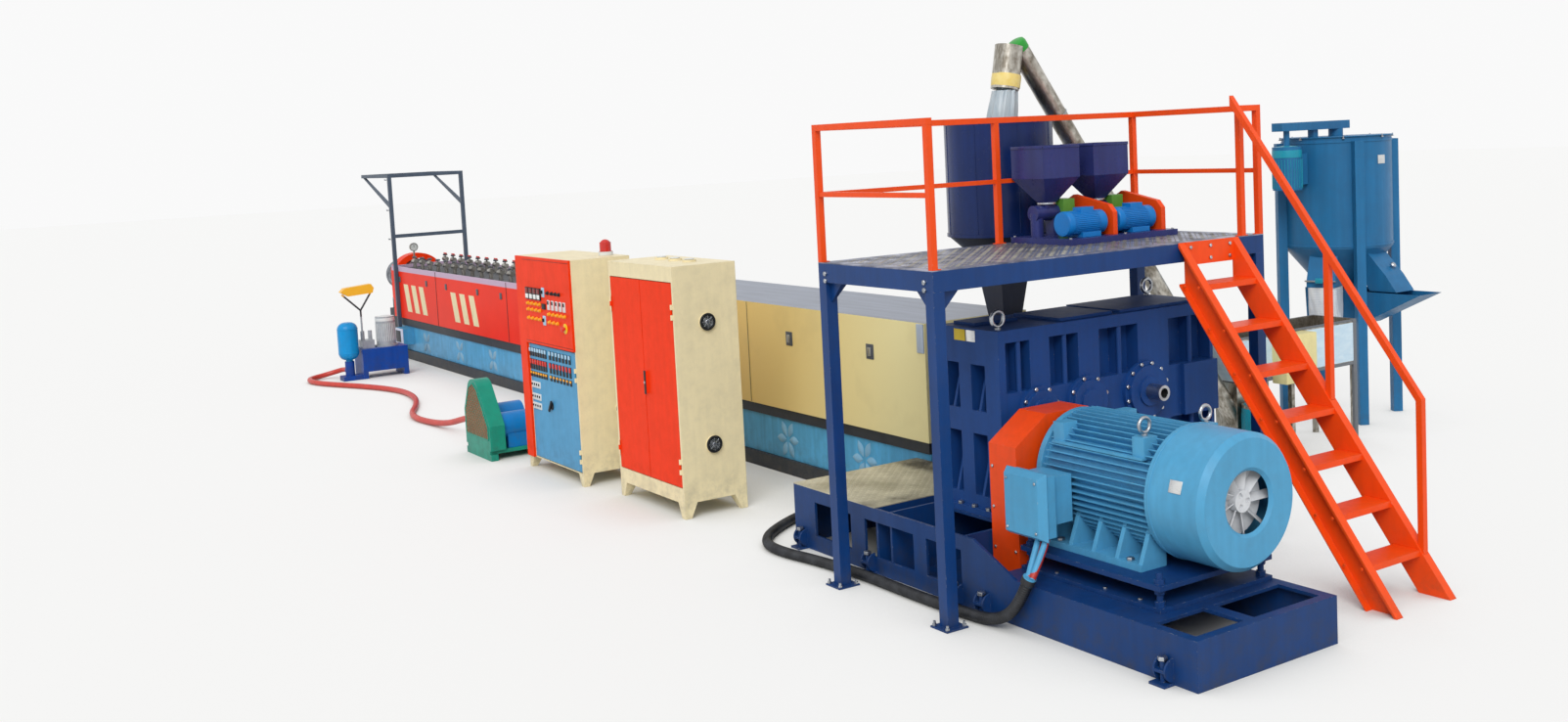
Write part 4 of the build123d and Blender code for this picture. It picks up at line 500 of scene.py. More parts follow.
# Gearbox: a cast iron housing, fettled and painted navy, with ribs in its side pockets, bolt circles round
# its bearing covers, M20, and two blank plates by its eye bolt, one painted yellow and one bare
cast_navy = enamel("navy_cast_iron", "#164486", grime="#3b3a38", wear=0.35, rough=0.5, grain=140, mottle=0.1)
finish_nodes(cast_navy, "gearbox_housing", "gearbox_covers")
gear_low, gear_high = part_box("gearbox_housing")
bolts("bearing_cover_bolts", (0.015, 0.0115, 0.012, 0.014),
      [(0.69, y, z) for middle, radius, count in ((-0.903, 0.144, 8), (-0.489, 0.158, 8), (0.04, 0.185, 12))
       for y, z in on_circle(middle, 1.1, radius, np.arange(count) * 360 / count + 15)], to_motor)
bolts("gearbox_foot_bolts", (0.02, 0.016, 0.016, 0.019),
      [(x, gear_low.y + 0.014, 0.48) for x in (0.1, 0.24, 0.38, 0.52, 0.64)]
      + [(gear_high.x - 0.055, y, 0.48) for y in np.arange(-1.1, 0.7, 0.2)])
rounded_boxes("gearbox_blank_plate", [[(0.221, -1.2085, 1.55), (0.335, -1.2055, 1.624)]], 0.002,
              enamel("yellow_plate", "#e3c63a", wear=0.1, mottle=0.03))
rounded_boxes("gearbox_bare_plate", [[(0.345, -1.2085, 1.55), (0.434, -1.2055, 1.624)]], 0.002, plate_aluminium)

# Screw tail and feed section: the screw's end is turned steel, and the barrel with its throat block
# is cast and blackened against the heat
finish_nodes(bright_zinc, "screw_tail")
finish_nodes(enamel("black_heat_enamel", "#3b4148", wear=0.35, rough=0.5, mottle=0.15), "feed_section")

# Platform: box section posts, channel fascia and joists, bolted at gusseted corners and sprayed in the same
# navy enamel; its deck is chequer plate like the step's, polished grey by shoes
platform_navy = enamel("navy_platform_enamel", "#103b76", grime="#3b3a38", wear=0.4, rough=0.33, floor_reach=0.25)
finish_nodes(platform_navy, "platform_frame", "platform_posts")
finish_nodes(metal("worn_deck_plate", "#aaaec0", "#5a6072", rough=0.42, streaks=(1, 1, 1), grain=9), "platform_deck")
deck_low, deck_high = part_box("platform_deck")
deck_edge = Vector((0.05, 0.05, 0))
chequer_studs("deck_studs", deck_low + deck_edge, deck_high - deck_edge, pitch=0.052, length=0.036, width=0.011,
              rise=0.003)
bolts("fascia_bolts", (0.016, 0.01, 0.013, 0.0125),
      [(x, deck_low.y, deck_high.z - drop) for x in (deck_low.x + 0.08, deck_high.x - 0.08) for drop in (0.07, 0.115)],
      to_front)
turned("post_anchor_nuts", [(0.0001, 0), (0.014, 0), (0.014, 0.013), (0.009, 0.014), (0.009, 0.03), (0.0001, 0.03)],
       [(x + across, y + along, 0.01) for x in (-0.14, 0.98) for y in (-1.922, 0.812)
        for across in (-0.062, 0.062) for along in (-0.062, 0.062)], bright_zinc, sides=6)

# Handrail and stair: square tube, channel and folded treads of mild steel, welded, and sprayed signal orange.
# The rails stand on small foot plates, and each tread is held by two bolts through a stringer
rail_enamel = enamel("orange_rail_enamel", "#f14e10", worn="#d8a48c", grime="#9c4a2c", wear=0.25,
                     rough=0.34, floor_reach=0.2, mottle=0.05)
finish_nodes(rail_enamel, "handrail_posts", "handrail_rails", "stair_handrail", "stair_stringers", "stair_treads")
rail_feet = [(x, y + side) for x, y in ((-0.16, -1.942), (1.0, -1.942), (-0.16, -0.48), (-0.16, 0.832), (1.0, 0.832),
                                        (1.0, 0.66)) for side in (-0.033, 0.033) if -1.95 < y + side < 0.84]
deck_height = 2.1
foot_plates = [[(x - 0.019, y - 0.012, deck_height), (x + 0.019, y + 0.012, deck_height + 0.006)] for x, y in rail_feet]
rounded_boxes("rail_foot_plates", foot_plates, 0.002, rail_enamel)
bolts("tread_bolts", (0.011, 0.007, 0.008, 0.009),
      [(1.02 + 1.59 * step / 8 - back, 0.03, deck_height * (1 - step / 8) - 0.017)
       for step in range(1, 8) for back in (0.03, 0.15)], to_front, rail_enamel)
bolts("stair_head_bolts", (0.013, 0.008, 0.01, 0.01),
      [(1.032, y, z) for y in (0.13, 0.315, 0.5) for z in (1.985, 2.065)], to_motor)


# Main hopper: a drum rolled from sheet steel in vertical strakes and sprayed glossy navy, on a dark cone
# and a square outlet of the same sheet
def upright_fins(name, u, v, radius, low, high, thick, material, degrees=range(0, 360, 12), sides=6, **where):
    """Fins or seams down a drum: thin upright tubes at angles round its axis."""
    tubes(name, [[(x, y, low), (x, y, high)] for x, y in on_circle(u, v, radius, degrees)], thick, material,
          sides=sides, **where)


# Its mottle is set high, so its vertical streaks are strong: partly uneven paint, and partly painted sheen, the light
# stripes down the glossy drum
drum_enamel = enamel("glossy_navy_drum", "#12295f", grime="#232b3c", wear=0.15, rough=0.2, mottle=0.2)
finish_nodes(drum_enamel, "main_hopper")
finish_nodes(enamel("cone_navy_steel", "#2b3040", wear=0.2, rough=0.4), "hopper_cone")
loader_x = -0.74
drum_middle = (loader_x, 0.03)
turned("drum_rim", [(0.394, 0.0), (0.4015, 0.0), (0.4045, 0.006), (0.4045, 0.012), (0.401, 0.016), (0.394, 0.016)],
       [(*drum_middle, 2.934)], drum_enamel, sides=96)
upright_fins("drum_seams", *drum_middle, 0.4, 2.125, 2.93, 0.0035, drum_enamel, range(-110, 250, 45), sides=8)
turned("cone_ring", [(0.392, -0.012), (0.407, -0.012), (0.407, 0.012), (0.392, 0.012)], [(*drum_middle, 2.126)],
       drum_enamel, sides=96)

# Feeders: two small screw feeders side by side on one plate, each with a square hopper and driven by a
# flanged motor through a belt under an orange guard
hopper_navy = enamel("feeder_hopper_navy", "#2c346c", grime="#3c3a48", wear=0.2, rough=0.24,
                     mottle=0.16)
finish_nodes(hopper_navy, "feeder_hoppers", "feeder_barrels")
motor_bright_blue = enamel("bright_blue_motor_enamel", "#0b78c4", wear=0.1, rough=0.28, mottle=0.05)
finish_nodes(motor_bright_blue, "feeder_motors")
finish_nodes(orange_enamel, "feeder_guards")
finish_nodes(enamel("reducer_green_enamel", "#5f9a3e", wear=0.15, rough=0.34), "feeder_reducers")
feeder_lines = (-0.211, 0.25)
feeder_motor_x, feeder_motor_z = 0.33, 2.234
tubes("feeder_motor_fins", [[(x, y - 0.075, z), (x, y + 0.15, z)] for y in feeder_lines
                            for x, z in on_circle(feeder_motor_x, feeder_motor_z, 0.081, range(-52, 236, 9))],
      0.0032, motor_bright_blue, sides=6)
turned("feeder_fan_cowls", [(0.0001, -0.001), (0.03, -0.001), (0.07, -0.001), (0.0825, 0.008), (0.0845, 0.012),
                            (0.0845, 0.052), (0.0815, 0.055), (0.079, 0.055)],
       [(feeder_motor_x, y - 0.13, feeder_motor_z) for y in feeder_lines], motor_bright_blue, (0, 1, 0), sides=40)
rim_low, rim_high = 2.742, 2.762
rim_boxes = [[(left, y + front, rim_low), (right_side, y + back, rim_high)] for y in feeder_lines
             for left, front, right_side, back in ((-0.128, -0.168, 0.208, -0.1645), (-0.128, 0.1645, 0.208, 0.168),
                                                   (-0.128, -0.168, -0.1245, 0.168), (0.2045, -0.168, 0.208, 0.168))]
rounded_boxes("feeder_hopper_rims", rim_boxes, 0.0015, hopper_navy)
turned("feeder_flanges", [(0.046, -0.006), (0.068, -0.006), (0.068, 0.006), (0.046, 0.006)],
       [(0.04, y, 2.366) for y in feeder_lines], bright_zinc, sides=32)
bolts("feeder_plate_bolts", (0.011, 0.007, 0.008, 0.009),
      [(x, y, 2.14) for x in (-0.11, 0.455) for y in (-0.38, 0.12, 0.575)])

# Screw loader: a steel tube still in its protective film, with a feed bin of film-wrapped sheet on legs,
# a teal motor at its foot and a small cream control box
finish_nodes(metal("film_wrapped_loader_tube", "#c3bfb6", "#7b7468", rough=0.35, streaks=(4, 1, 1), grain=20),
             "screw_loader")
film_blue = plastic("protective_film_on_sheet", "#a9cbe2", "#dcebf4", 2.4, 6, 0.22, 1.49, (0.35, 0.01),
                    {"Scale": (1, 3, 9), "Rotation": (0.5, 0, 0)}, warp=0.6)


def slabs(name, near, far, material):
    """Thin sheets of four corners: each near face is joined to its far face by four edges."""
    sides = np.array([(3, 2, 1, 0), (4, 5, 6, 7), (0, 1, 5, 4), (1, 2, 6, 5), (2, 3, 7, 6), (3, 0, 4, 7)])
    faces = (8 * np.arange(len(near))[:, None, None] + sides).reshape(-1, 4)
    as_object(name, np.concatenate([near, far], axis=1), faces, material)


bin_sheets = np.array([
    [(-0.539, 2.39, 0.706), (-0.539, 3.869, 0.706), (-0.539, 3.869, 1.045), (-0.539, 2.14, 1.045)],
    [(-0.99, 3.876, 0.706), (-0.99, 3.876, 1.045), (-0.55, 3.876, 1.045), (-0.55, 3.876, 0.706)],
    [(-0.99, 2.377, 0.70), (-0.55, 2.377, 0.70), (-0.55, 2.13, 1.052), (-0.99, 2.13, 1.052)]])
bin_outward = np.array([(1, 0, 0), (0, 1, 0), (0, -0.82, -0.57)])
slabs("bin_film", bin_sheets, bin_sheets + 0.002 * bin_outward[:, None], film_blue)
bin_angles = [[(-1.003, 2.12, 1.055), (-0.997, 3.878, 1.076)], [(-0.542, 2.12, 1.055), (-0.536, 3.878, 1.076)],
              [(-1.003, 3.872, 1.055), (-0.537, 3.878, 1.076)], [(-0.542, 2.4, 0.672), (-0.536, 3.878, 0.7)],
              [(-0.56, 3.834, 0.0), (-0.534, 3.879, 1.07)], [(-0.9, 2.448, 0.668), (-0.536, 2.454, 0.7)]]
rounded_boxes("bin_angles", bin_angles, 0.002, enamel("grey_bin_angle", "#6c7076", wear=0.3, rough=0.4))
rounded_boxes("bin_control_box", [[(-0.541, 2.757, 0.647), (-0.387, 3.153, 1.053)]], 0.006,
              enamel("cream_box_enamel", "#e8dca0", wear=0.1, rough=0.34, mottle=0.04))
knob_green = enamel("green_push_button", "#2f9a3a", wear=0.05, rough=0.3, mottle=0.03)
turned("bin_start_button", [(0.0001, 0), (0.021, 0), (0.021, 0.006), (0.016, 0.008), (0.016, 0.018), (0.013, 0.021),
                            (0.0001, 0.021)], [(-0.387, 2.95, 0.93)], knob_green, to_motor)
loader_motor = (-0.54, 2.54)
teal_enamel = enamel("teal_motor_enamel", "#1f90a8", wear=0.15, rough=0.25, mottle=0.08)
turned("loader_motor_cowl", [(0.0001, 0.018), (0.03, 0.016), (0.075, 0.01), (0.1, -0.004), (0.114, -0.026),
                             (0.1175, -0.05), (0.1175, -0.24), (0.1155, -0.24)], [(*loader_motor, 0.505)],
       teal_enamel, sides=48)
upright_fins("loader_motor_fins", *loader_motor, 0.1185, 0.27, 0.42, 0.003, teal_enamel)
loader_slope = (0.814, 0.581)
tubes("loader_tube_bands", [[(loader_x + u, y + v * loader_slope[0], z + v * loader_slope[1])
                             for u, v in on_circle(0, 0, 0.077, range(0, 361, 20))]
                            for y, z in ((0.62, 2.978), (1.3, 2.026), (1.95, 1.116))], 0.006, bright_zinc, sides=8)
head_cap = [(0.0001, 0.03), (0.05, 0.028), (0.07, 0.02), (0.0775, 0.0), (0.0775, -0.05), (0.0755, -0.05)]
turned("loader_head_cap", head_cap, [(loader_x, 0.24, 3.51)], knob_green, (0, -0.581, 0.814), sides=32)

# Film sleeve: soft polyethylene tube film, tied to the loader's spout with yellow tape, that hangs slack
# into the drum. Its folds run down it, and it widens as it leaves the tie: its radius is a swell that rises
# with sin, plus folds of sin(9 turn) and sin(17 turn) that fade towards its end.
sleeve_film = plastic("polyethylene_film", "#a9c0cf", "#eef4f6", 1.0, 4, 0.28, 1.51, (0.5, 0.008),
                      {"Scale": (26, 26, 2.2)}, clear=0.35)
levels, columns = 40, 72
down = np.linspace(0, 1, levels)[:, None]
turn = np.linspace(0, 2 * math.pi, columns, endpoint=False)
swell = 0.098 + 0.027 * np.sin(np.clip(down * 2.4, 0, 1.57))
sleeve_radius = swell + 0.006 * (1 - 0.6 * down) * (np.sin(9 * turn + 2.2 * down) + 0.5 * np.sin(17 * turn))
sleeve_axis = np.stack([loader_x + 0 * down, 0.11 - 0.09 * down, 3.175 - 0.47 * down], axis=-1)
swing = np.stack([sleeve_radius * np.cos(turn) * 0.98, sleeve_radius * np.sin(turn) * 0.9, 0 * sleeve_radius], axis=-1)
inner_share = 0.985
both_skins = np.concatenate([sleeve_axis + swing, (sleeve_axis + inner_share * swing)[::-1]])
skin_faces = (grid_faces(2 * levels + 1, columns) % (2 * levels * columns))[:, ::-1]
sleeve = as_object("hanging_film_sleeve", both_skins, skin_faces, sleeve_film, sharp=80)
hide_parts("film_sleeve")
tape_profile = [(0.1065, -0.045), (0.1085, -0.045), (0.11, -0.02), (0.1105, 0.02), (0.1085, 0.05), (0.1065, 0.05)]
turned("sleeve_tape", tape_profile, [(loader_x, 0.125, 3.24)],
       plastic("yellow_packing_tape", "#e0bf4a", "#f3e3a0", 22, 4, 0.3, 1.5), (0, 0.19, 1), sides=40)

# Mixer: a drum and cone of rolled sheet steel between four channel legs, sprayed mid blue, with its belt
# drive on top, a slide gate and a knob at its chutes and a blank plate on the drum
mixer_enamel = enamel("mixer_blue_enamel", "#226a9a", worn="#8fa0aa", grime="#3c4a58", wear=0.25,
                      rough=0.36)
finish_nodes(mixer_enamel, "mixer_silo", "mixer_cone", "mixer_roof", "mixer_legs", "mixer_trough", "mixer_drive")
mixer_x, mixer_y, mixer_motor_y = -1.346, 4.7, 3.99
turned("mixer_hoops", [(0.4985, -0.012), (0.506, -0.01), (0.506, 0.01), (0.4985, 0.012)],
       [(mixer_x, mixer_y, z) for z in (1.66, 2.63)], mixer_enamel, sides=96)
chute_degrees = -70
gate_turn = Matrix.Rotation(math.radians(chute_degrees), 3, "Z")
(gate_x, gate_y), (grip_x, grip_y) = (on_circle(mixer_x, mixer_y, out, [chute_degrees])[0] for out in (0.541, 0.575))
rounded_boxes("chute_gate", [[(gate_x - 0.012, gate_y - 0.145, 1.335), (gate_x + 0.012, gate_y + 0.145, 1.349)]],
              0.002, bright_zinc, turn=gate_turn)
rounded_boxes("chute_gate_handle", [[(grip_x - 0.02, grip_y - 0.035, 1.325), (grip_x + 0.02, grip_y + 0.035, 1.375)]],
              0.01, teal_enamel, slot="frame_black", turn=gate_turn)
turned("mixer_motor_cowl", [(0.0001, 0.02), (0.04, 0.019), (0.1, 0.012), (0.13, -0.008), (0.1355, -0.03),
                            (0.1355, -0.09), (0.1325, -0.09)], [(mixer_x, mixer_motor_y, 2.594)], teal_enamel,
       sides=48, slot="mixer_blue")
upright_fins("mixer_motor_fins", mixer_x, mixer_motor_y, 0.134, 2.22, 2.49, 0.0035, teal_enamel, slot="mixer_blue")
turned("mixer_lid_clips", [(0.0001, 0), (0.013, 0), (0.013, 0.008), (0.006, 0.012), (0.006, 0.03), (0.0001, 0.03)],
       [(x, y, 2.655) for x, y in on_circle(mixer_x, mixer_y, 0.515, range(0, 360, 45))], bright_zinc, sides=8)
drum_plate = [(mixer_x + 0.4995, mixer_y - 0.05, 2.41), (mixer_x + 0.5035, mixer_y + 0.05, 2.49)]
rounded_boxes("drum_blank_plate", [drum_plate], 0.0015, plate_aluminium)
turned("chute_knob", [(0.0001, 0), (0.012, 0), (0.012, 0.02), (0.026, 0.024), (0.028, 0.033), (0.018, 0.042),
                      (0.0001, 0.043)], [(-0.786, 4.74, 1.4475)], bright_zinc, (0.729, 0, 0.685), sides=20)

# Outlet bag: a sack of woven white polypropylene, gathered over the chute's mouth and hanging slack, so
# its sides fold and its bottom crumples under its own weight
bag_cloth, add, place = new_material("woven_polypropylene_sack")
hang = add("Mapping", {"Scale": (16, 16, 4)}, {"Vector": place})
fold = add("TexNoise", {"Scale": 1.0, "Detail": 5, "Distortion": 0.4}, {"Vector": hang})
# The colour is painted shade: it runs from bluish grey in the folds to white, by the same stretched noise that dents
# the cloth
tone = add("MixRGB", {"Color1": linear("#aeb8c8"), "Color2": linear("#f1f1ee")}, {"Fac": fold})
# The real weave is 2.5 mm, too fine to show here, so it is drawn at 8 mm
weave = add("TexWave", {"Scale": 20, "bands_direction": "Z", "Distortion": 0.6}, {"Vector": place})
cloth = add("Math", {"operation": "MULTIPLY_ADD", 1: 0.15}, {0: weave.outputs["Fac"], 2: fold})
wrinkle = add("Bump", {"Strength": 0.6, "Distance": 0.012}, {"Height": cloth})
coat = add("BsdfPrincipled", {"Roughness": 0.55, "IOR": 1.49}, {"Base Color": tone, "Normal": wrinkle})
add("OutputMaterial", {}, {"Surface": coat})
bag_middle = np.array((-1.209, 4.324))
outward = np.array(on_circle(0, 0, 1, [chute_degrees])[0])
sideways = np.array((-outward[1], outward[0]))


def sack(levels, columns, shrink):
    """A sack's skin. Each level is a superellipse, half sizes a and b, whose power falls from 5 to 2.6 towards
    the bottom, with folds of sin(7 turn) and sin(13 turn), and the last levels draw in to a crumpled bottom."""
    t = np.linspace(0, 1, levels)[:, None]
    turn = np.linspace(0, 2 * math.pi, columns, endpoint=False)[None]
    wall = np.clip(t / 0.86, 0, 1)
    close = np.clip((t - 0.86) / 0.14, 0, 1)
    power = 2 / (5 - 2.4 * wall)
    fold = 1 + (0.022 * np.sin(7 * turn + 3 * t) + 0.014 * np.sin(13 * turn - 5 * t)) * np.clip(wall * 2.5, 0, 1)
    draw = np.cos(close * math.pi / 2) ** 0.8 * (1 - shrink)
    across = (0.137 - 0.045 * wall + 0.012 * np.sin(math.pi * wall)) * fold * draw
    along = (0.137 + 0.012 * wall) * fold * draw
    a = across * np.sign(np.cos(turn)) * np.abs(np.cos(turn)) ** power
    b = along * np.sign(np.sin(turn)) * np.abs(np.sin(turn)) ** power
    crumple = 0.024 * close * (1 - close) * np.sin(5 * turn)
    z = 1.281 - 0.315 * wall - 0.02 * np.sin(close * math.pi / 2) - crumple + shrink * close
    return np.concatenate([bag_middle + a[..., None] * outward + b[..., None] * sideways, z[..., None]], axis=-1)


levels, columns = 60, 96
skins = np.concatenate([sack(levels, columns, 0.0), sack(levels, columns, 0.012)[::-1]])
skin_faces = (grid_faces(2 * levels + 1, columns) % (2 * levels * columns))[:, ::-1]
# The two skins join at the mouth, and each closes by itself at the bottom
bag_faces = np.delete(skin_faces, np.s_[(levels - 1) * columns:levels * columns], axis=0)
outlet_bag = as_object("outlet_sack", skins, bag_faces, bag_cloth, sharp=80)
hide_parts("outlet_bag")

# Barrel section, near half: a folded sheet cover in pale cream powder coat whose top still wears its
# protective film, on a black frame and a blue skirt with louvred vents
cover_cream, add, place = new_material("cream_powder_coat")
along = add("SeparateXYZ", {}, {"Vector": place})
blotch = add("TexNoise", {"Scale": 1.6, "Detail": 5}, {"Vector": place})
fade = add("MapRange", {"From Min": -1.4, "From Max": -5.2}, {"Value": along})
tone = add("MixRGB", {"Color1": linear("#e6dba6"), "Color2": linear("#dfae3c")}, {"Fac": fade})
soot = add("MapRange", {"From Min": 0.55, "From Max": 0.8, "To Max": 0.3}, {"Value": blotch})
worn_cream = add("MixRGB", {"Color2": linear("#9b8d68")}, {"Fac": soot, "Color1": tone})
facing = add("NewGeometry")
lean = add("SeparateXYZ", {}, {"Vector": facing.outputs["True Normal"]})
top = add("MapRange", {"From Min": 0.7, "From Max": 0.8}, {"Value": lean.outputs["Z"]})
drawn = add("Mapping", {"Scale": (0.7, 9, 1)}, {"Vector": place})
streak = add("TexNoise", {"Scale": 1.3, "Detail": 6, "Roughness": 0.65}, {"Vector": drawn})
film = add("MixRGB", {"Color1": linear("#3b4254"), "Color2": linear("#929cb0")}, {"Fac": streak})
both = add("MixRGB", {}, {"Fac": top, "Color1": worn_cream, "Color2": film})
rounded = add("Bevel", {"Radius": 0.006, "samples": 4})
coat = add("BsdfPrincipled", {"Roughness": 0.32, "IOR": 1.5, "Specular IOR Level": 0.25},
           {"Base Color": both, "Normal": rounded})
add("OutputMaterial", {}, {"Surface": coat})
finish_nodes(cover_cream, "cream_cover")
frame_black = enamel("black_frame_enamel", "#2b2f36", grime="#57544c", wear=0.3, rough=0.45, mottle=0.15)
finish_nodes(frame_black, "cover_frame")
finish_nodes(enamel("blue_skirt_enamel", "#4f9fcc", worn="#9aa4a8", grime="#46515a", wear=0.25, rough=0.36, mottle=0.2),
             "cover_skirt")
latch_grey = enamel("grey_die_cast_latch", "#4c5058", rough=0.35, mottle=0.06)


def front_boxes(name, spots, half, low, high, radius, material, **where):
    """Rounded boxes on a front face, half a width to each side of their (X, Z) spots, from low to high, which
    are each (Y, height over the spot)."""
    boxes = [[(x - half, low[0], z + low[1]), (x + half, high[0], z + high[1])] for x, z in spots]
    rounded_boxes(name, boxes, radius, material, **where)


latch_spots = [(x, 1.2) for x in (-4.2, -2.978, -1.773)]
front_boxes("cream_cover_latches", latch_spots, 0.05, (-0.507, -0.06), (-0.499, 0.06), 0.004, latch_grey)
front_boxes("cream_latch_tongues", latch_spots, 0.022, (-0.515, -0.035), (-0.505, 0.035), 0.005, bright_zinc)
rounded_boxes("cover_end_plate", [[(-1.14, -0.512, 1.25), (-1.056, -0.499, 1.47)]], 0.006,
              enamel("blue_grey_end_plate", "#a9b6c8", wear=0.2, rough=0.3, mottle=0.1), steps=4)
front_boxes("cream_cover_seams", [(x, 0) for x in (-2.37, -3.68, -4.99)], 0.006, (-0.503, 0.575), (-0.499, 1.472),
            0.001, enamel("dark_cream_joint", "#8a7c50", wear=0.1, mottle=0.1))
skirt_face, vent_height = -0.4705, 0.3


def leaf_louvres(name, leaves, material):
    """Pressed louvres: each leaf is a pointed oval, half width w sin(pi s) along its length, that stands proud
    of its plate by 0.4 w sin(pi s) sin(pi t) and is closed behind."""
    s, t = np.meshgrid(np.linspace(0.02, 0.98, 9), np.linspace(0, 1, 7), indexing="ij")
    count = s.size
    edge = np.concatenate([np.arange(6), np.arange(8) * 7 + 6, 62 - np.arange(6), (8 - np.arange(8)) * 7])
    after = np.roll(edge, -1)
    loop = np.stack([edge, after, after + count, edge + count], axis=1)
    front = grid_faces(9, 7, closed=False)
    leaf_faces = np.concatenate([front[:, ::-1], front + count, loop])
    points = []
    for x, z, length, width, lean in leaves:
        a = (s - 0.5) * length
        b = (t - 0.5) * width * np.sin(math.pi * s)
        rise = 0.2 * width * np.sin(math.pi * s) * np.sin(math.pi * t)
        across, over = x + a * math.cos(lean) - b * math.sin(lean), z + a * math.sin(lean) + b * math.cos(lean)
        points += [np.stack([across, skirt_face - rise, over], axis=-1),
                   np.stack([across, skirt_face + 0.001 + 0 * s, over], axis=-1)]
    faces = (leaf_faces + 2 * count * np.arange(len(leaves))[:, None, None]).reshape(-1, 4)
    return as_object(name, points, faces, material, sharp=40)


# The leaves are painted paler than the blue skirt they are pressed from: a painted highlight on the louvres
leaf_louvres("cream_skirt_vents", [(x + 0.1 * math.cos(a), vent_height + 0.1 * math.sin(a), 0.15, 0.075, a)
                                   for x in (-5.5, -4.31, -3.137, -1.964) for a in np.radians(np.arange(0, 360, 60))],
             enamel("louvre_painted_highlight_enamel", "#7fb0cf", wear=0.2, rough=0.4, mottle=0.1))

# Barrel section, far half: the same folded covers in red, with slanted cream stripes, a film edge along the
# top and one row of latches
cover_red, add, place = new_material("red_cover_enamel")
along = add("SeparateXYZ", {}, {"Vector": place})
blotch = add("TexNoise", {"Scale": 2.2, "Detail": 5}, {"Vector": place})
tone = add("MixRGB", {"Color1": linear("#de2a10"), "Color2": linear("#f63216")}, {"Fac": blotch})
strip = add("MapRange", {"From Min": 1.262, "From Max": 1.27, "To Max": 0.85}, {"Value": along.outputs["Z"]})
edge = add("MixRGB", {"Color2": linear("#b9b6d0")}, {"Fac": strip, "Color1": tone})
rounded = add("Bevel", {"Radius": 0.006, "samples": 4})
coat = add("BsdfPrincipled", {"Roughness": 0.32, "IOR": 1.5, "Specular IOR Level": 0.06},
           {"Base Color": edge, "Normal": rounded})
add("OutputMaterial", {}, {"Surface": coat})
finish_nodes(cover_red, "red_cover")
stripe_near, stripe_far = (np.array([
    [(left, y, 1.09), (left + 0.195, y, 1.09), (left + 0.325, y, 0.7), (left + 0.13, y, 0.7)]
    for left in (-13.58, -13.24, -12.905, -11.58, -11.235, -10.885)]) for y in (-0.5012, -0.4998))
slabs("red_cover_stripes", stripe_near, stripe_far,
      enamel("cream_stripe_paint", "#eadcb0", wear=0.1, rough=0.35, mottle=0.06))
front_boxes("red_cover_latches", [(x, 1.15) for x in (-13.73, -12.546, -11.735, -10.541, -9.721, -8.53, -7.72, -6.53)],
            0.035, (-0.508, -0.04), (-0.499, 0.04), 0.004, latch_grey)
front_boxes("red_cover_seams", [(x, 0) for x in (-12.15, -9.535, -6.92)], 0.008, (-0.503, 0.595), (-0.499, 1.33),
            0.001, enamel("dark_red_joint", "#5a1c14", wear=0.1, mottle=0.1))
# The leaves are painted paler than the blue skirt they are pressed from: a painted highlight on the louvres
leaf_louvres("red_skirt_vents", [(x + side * 0.07, vent_height + rise * 0.07, 0.17, 0.085, side * rise * math.pi / 4)
                                 for x in (-12.791, -11.438, -10.223, -9.0, -7.7) for side in (-1, 1)
                                 for rise in (-1, 1)],
             enamel("petal_painted_highlight_enamel", "#7da4bd", wear=0.2, rough=0.4, mottle=0.1))
rounded_boxes("junction_box_lid", [[(-13.722, -0.627, 0.228), (-13.368, -0.622, 0.462)]], 0.002,
              enamel("pale_lilac_box_enamel", "#c5cbe0", wear=0.15, rough=0.34, mottle=0.06))
rounded_boxes("junction_box_window", [[(-13.69, -0.63, 0.262), (-13.47, -0.6255, 0.428)]], 0.002, frame_black)

# Valve rows on the red cover: plated brass needle valves between two rails, the back ones with red handles,
# one pressure gauge at the end, and the bolted portal frame that straddles them
valve_metal = metal("nickelled_brass_valves", "#b9b6ae", "#6e6a64", rough=0.35, grain=8)
finish_nodes(valve_metal, "top_valves")
valve_row = [-13.85 + 0.345 * i for i in range(20)]
turned("valve_collars", [(0.0001, 0), (0.03, 0.0), (0.034, 0.006), (0.034, 0.02), (0.027, 0.026), (0.0001, 0.026)],
       [(x, y, 1.432) for x in valve_row for y in (-0.23, 0.23)], latch_grey, sides=12)
handle_red = enamel("red_valve_handle", "#d8332a", wear=0.1, rough=0.3, mottle=0.05)
front_boxes("valve_handles", [(x, 0) for x in valve_row], 0.055, (0.221, 1.455), (0.239, 1.475), 0.006, handle_red)
gauge_middle = (-0.2, 1.59)
turned("gauge_dial", [(0.0001, 0), (0.05, 0), (0.05, 0.002), (0.0001, 0.003)], [(-13.936, *gauge_middle)],
       plastic("printed_gauge_dial", "#e9ebe8", "#cfd3cf", 60, 2, 0.2, 1.5), to_motor, sides=40)
turned("gauge_rim", [(0.05, 0), (0.061, 0), (0.062, 0.004), (0.058, 0.008), (0.05, 0.006)], [(-13.938, *gauge_middle)],
       valve_metal, to_motor, sides=40)
rounded_boxes("gauge_hand", [[(-13.9335, -0.2025, 1.585), (-13.932, -0.1975, 1.628)]], 0.001, frame_black)
finish_nodes(enamel("slate_portal_enamel", "#4a5666", grime="#3b3a38", wear=0.35, rough=0.4), "portal_frame")
bolts("portal_bolts", (0.014, 0.009, 0.011, 0.012),
      [(x, -0.58, z) for x in (-13.83, -13.77) for z in (1.74, 2.16, 2.6)], to_front)

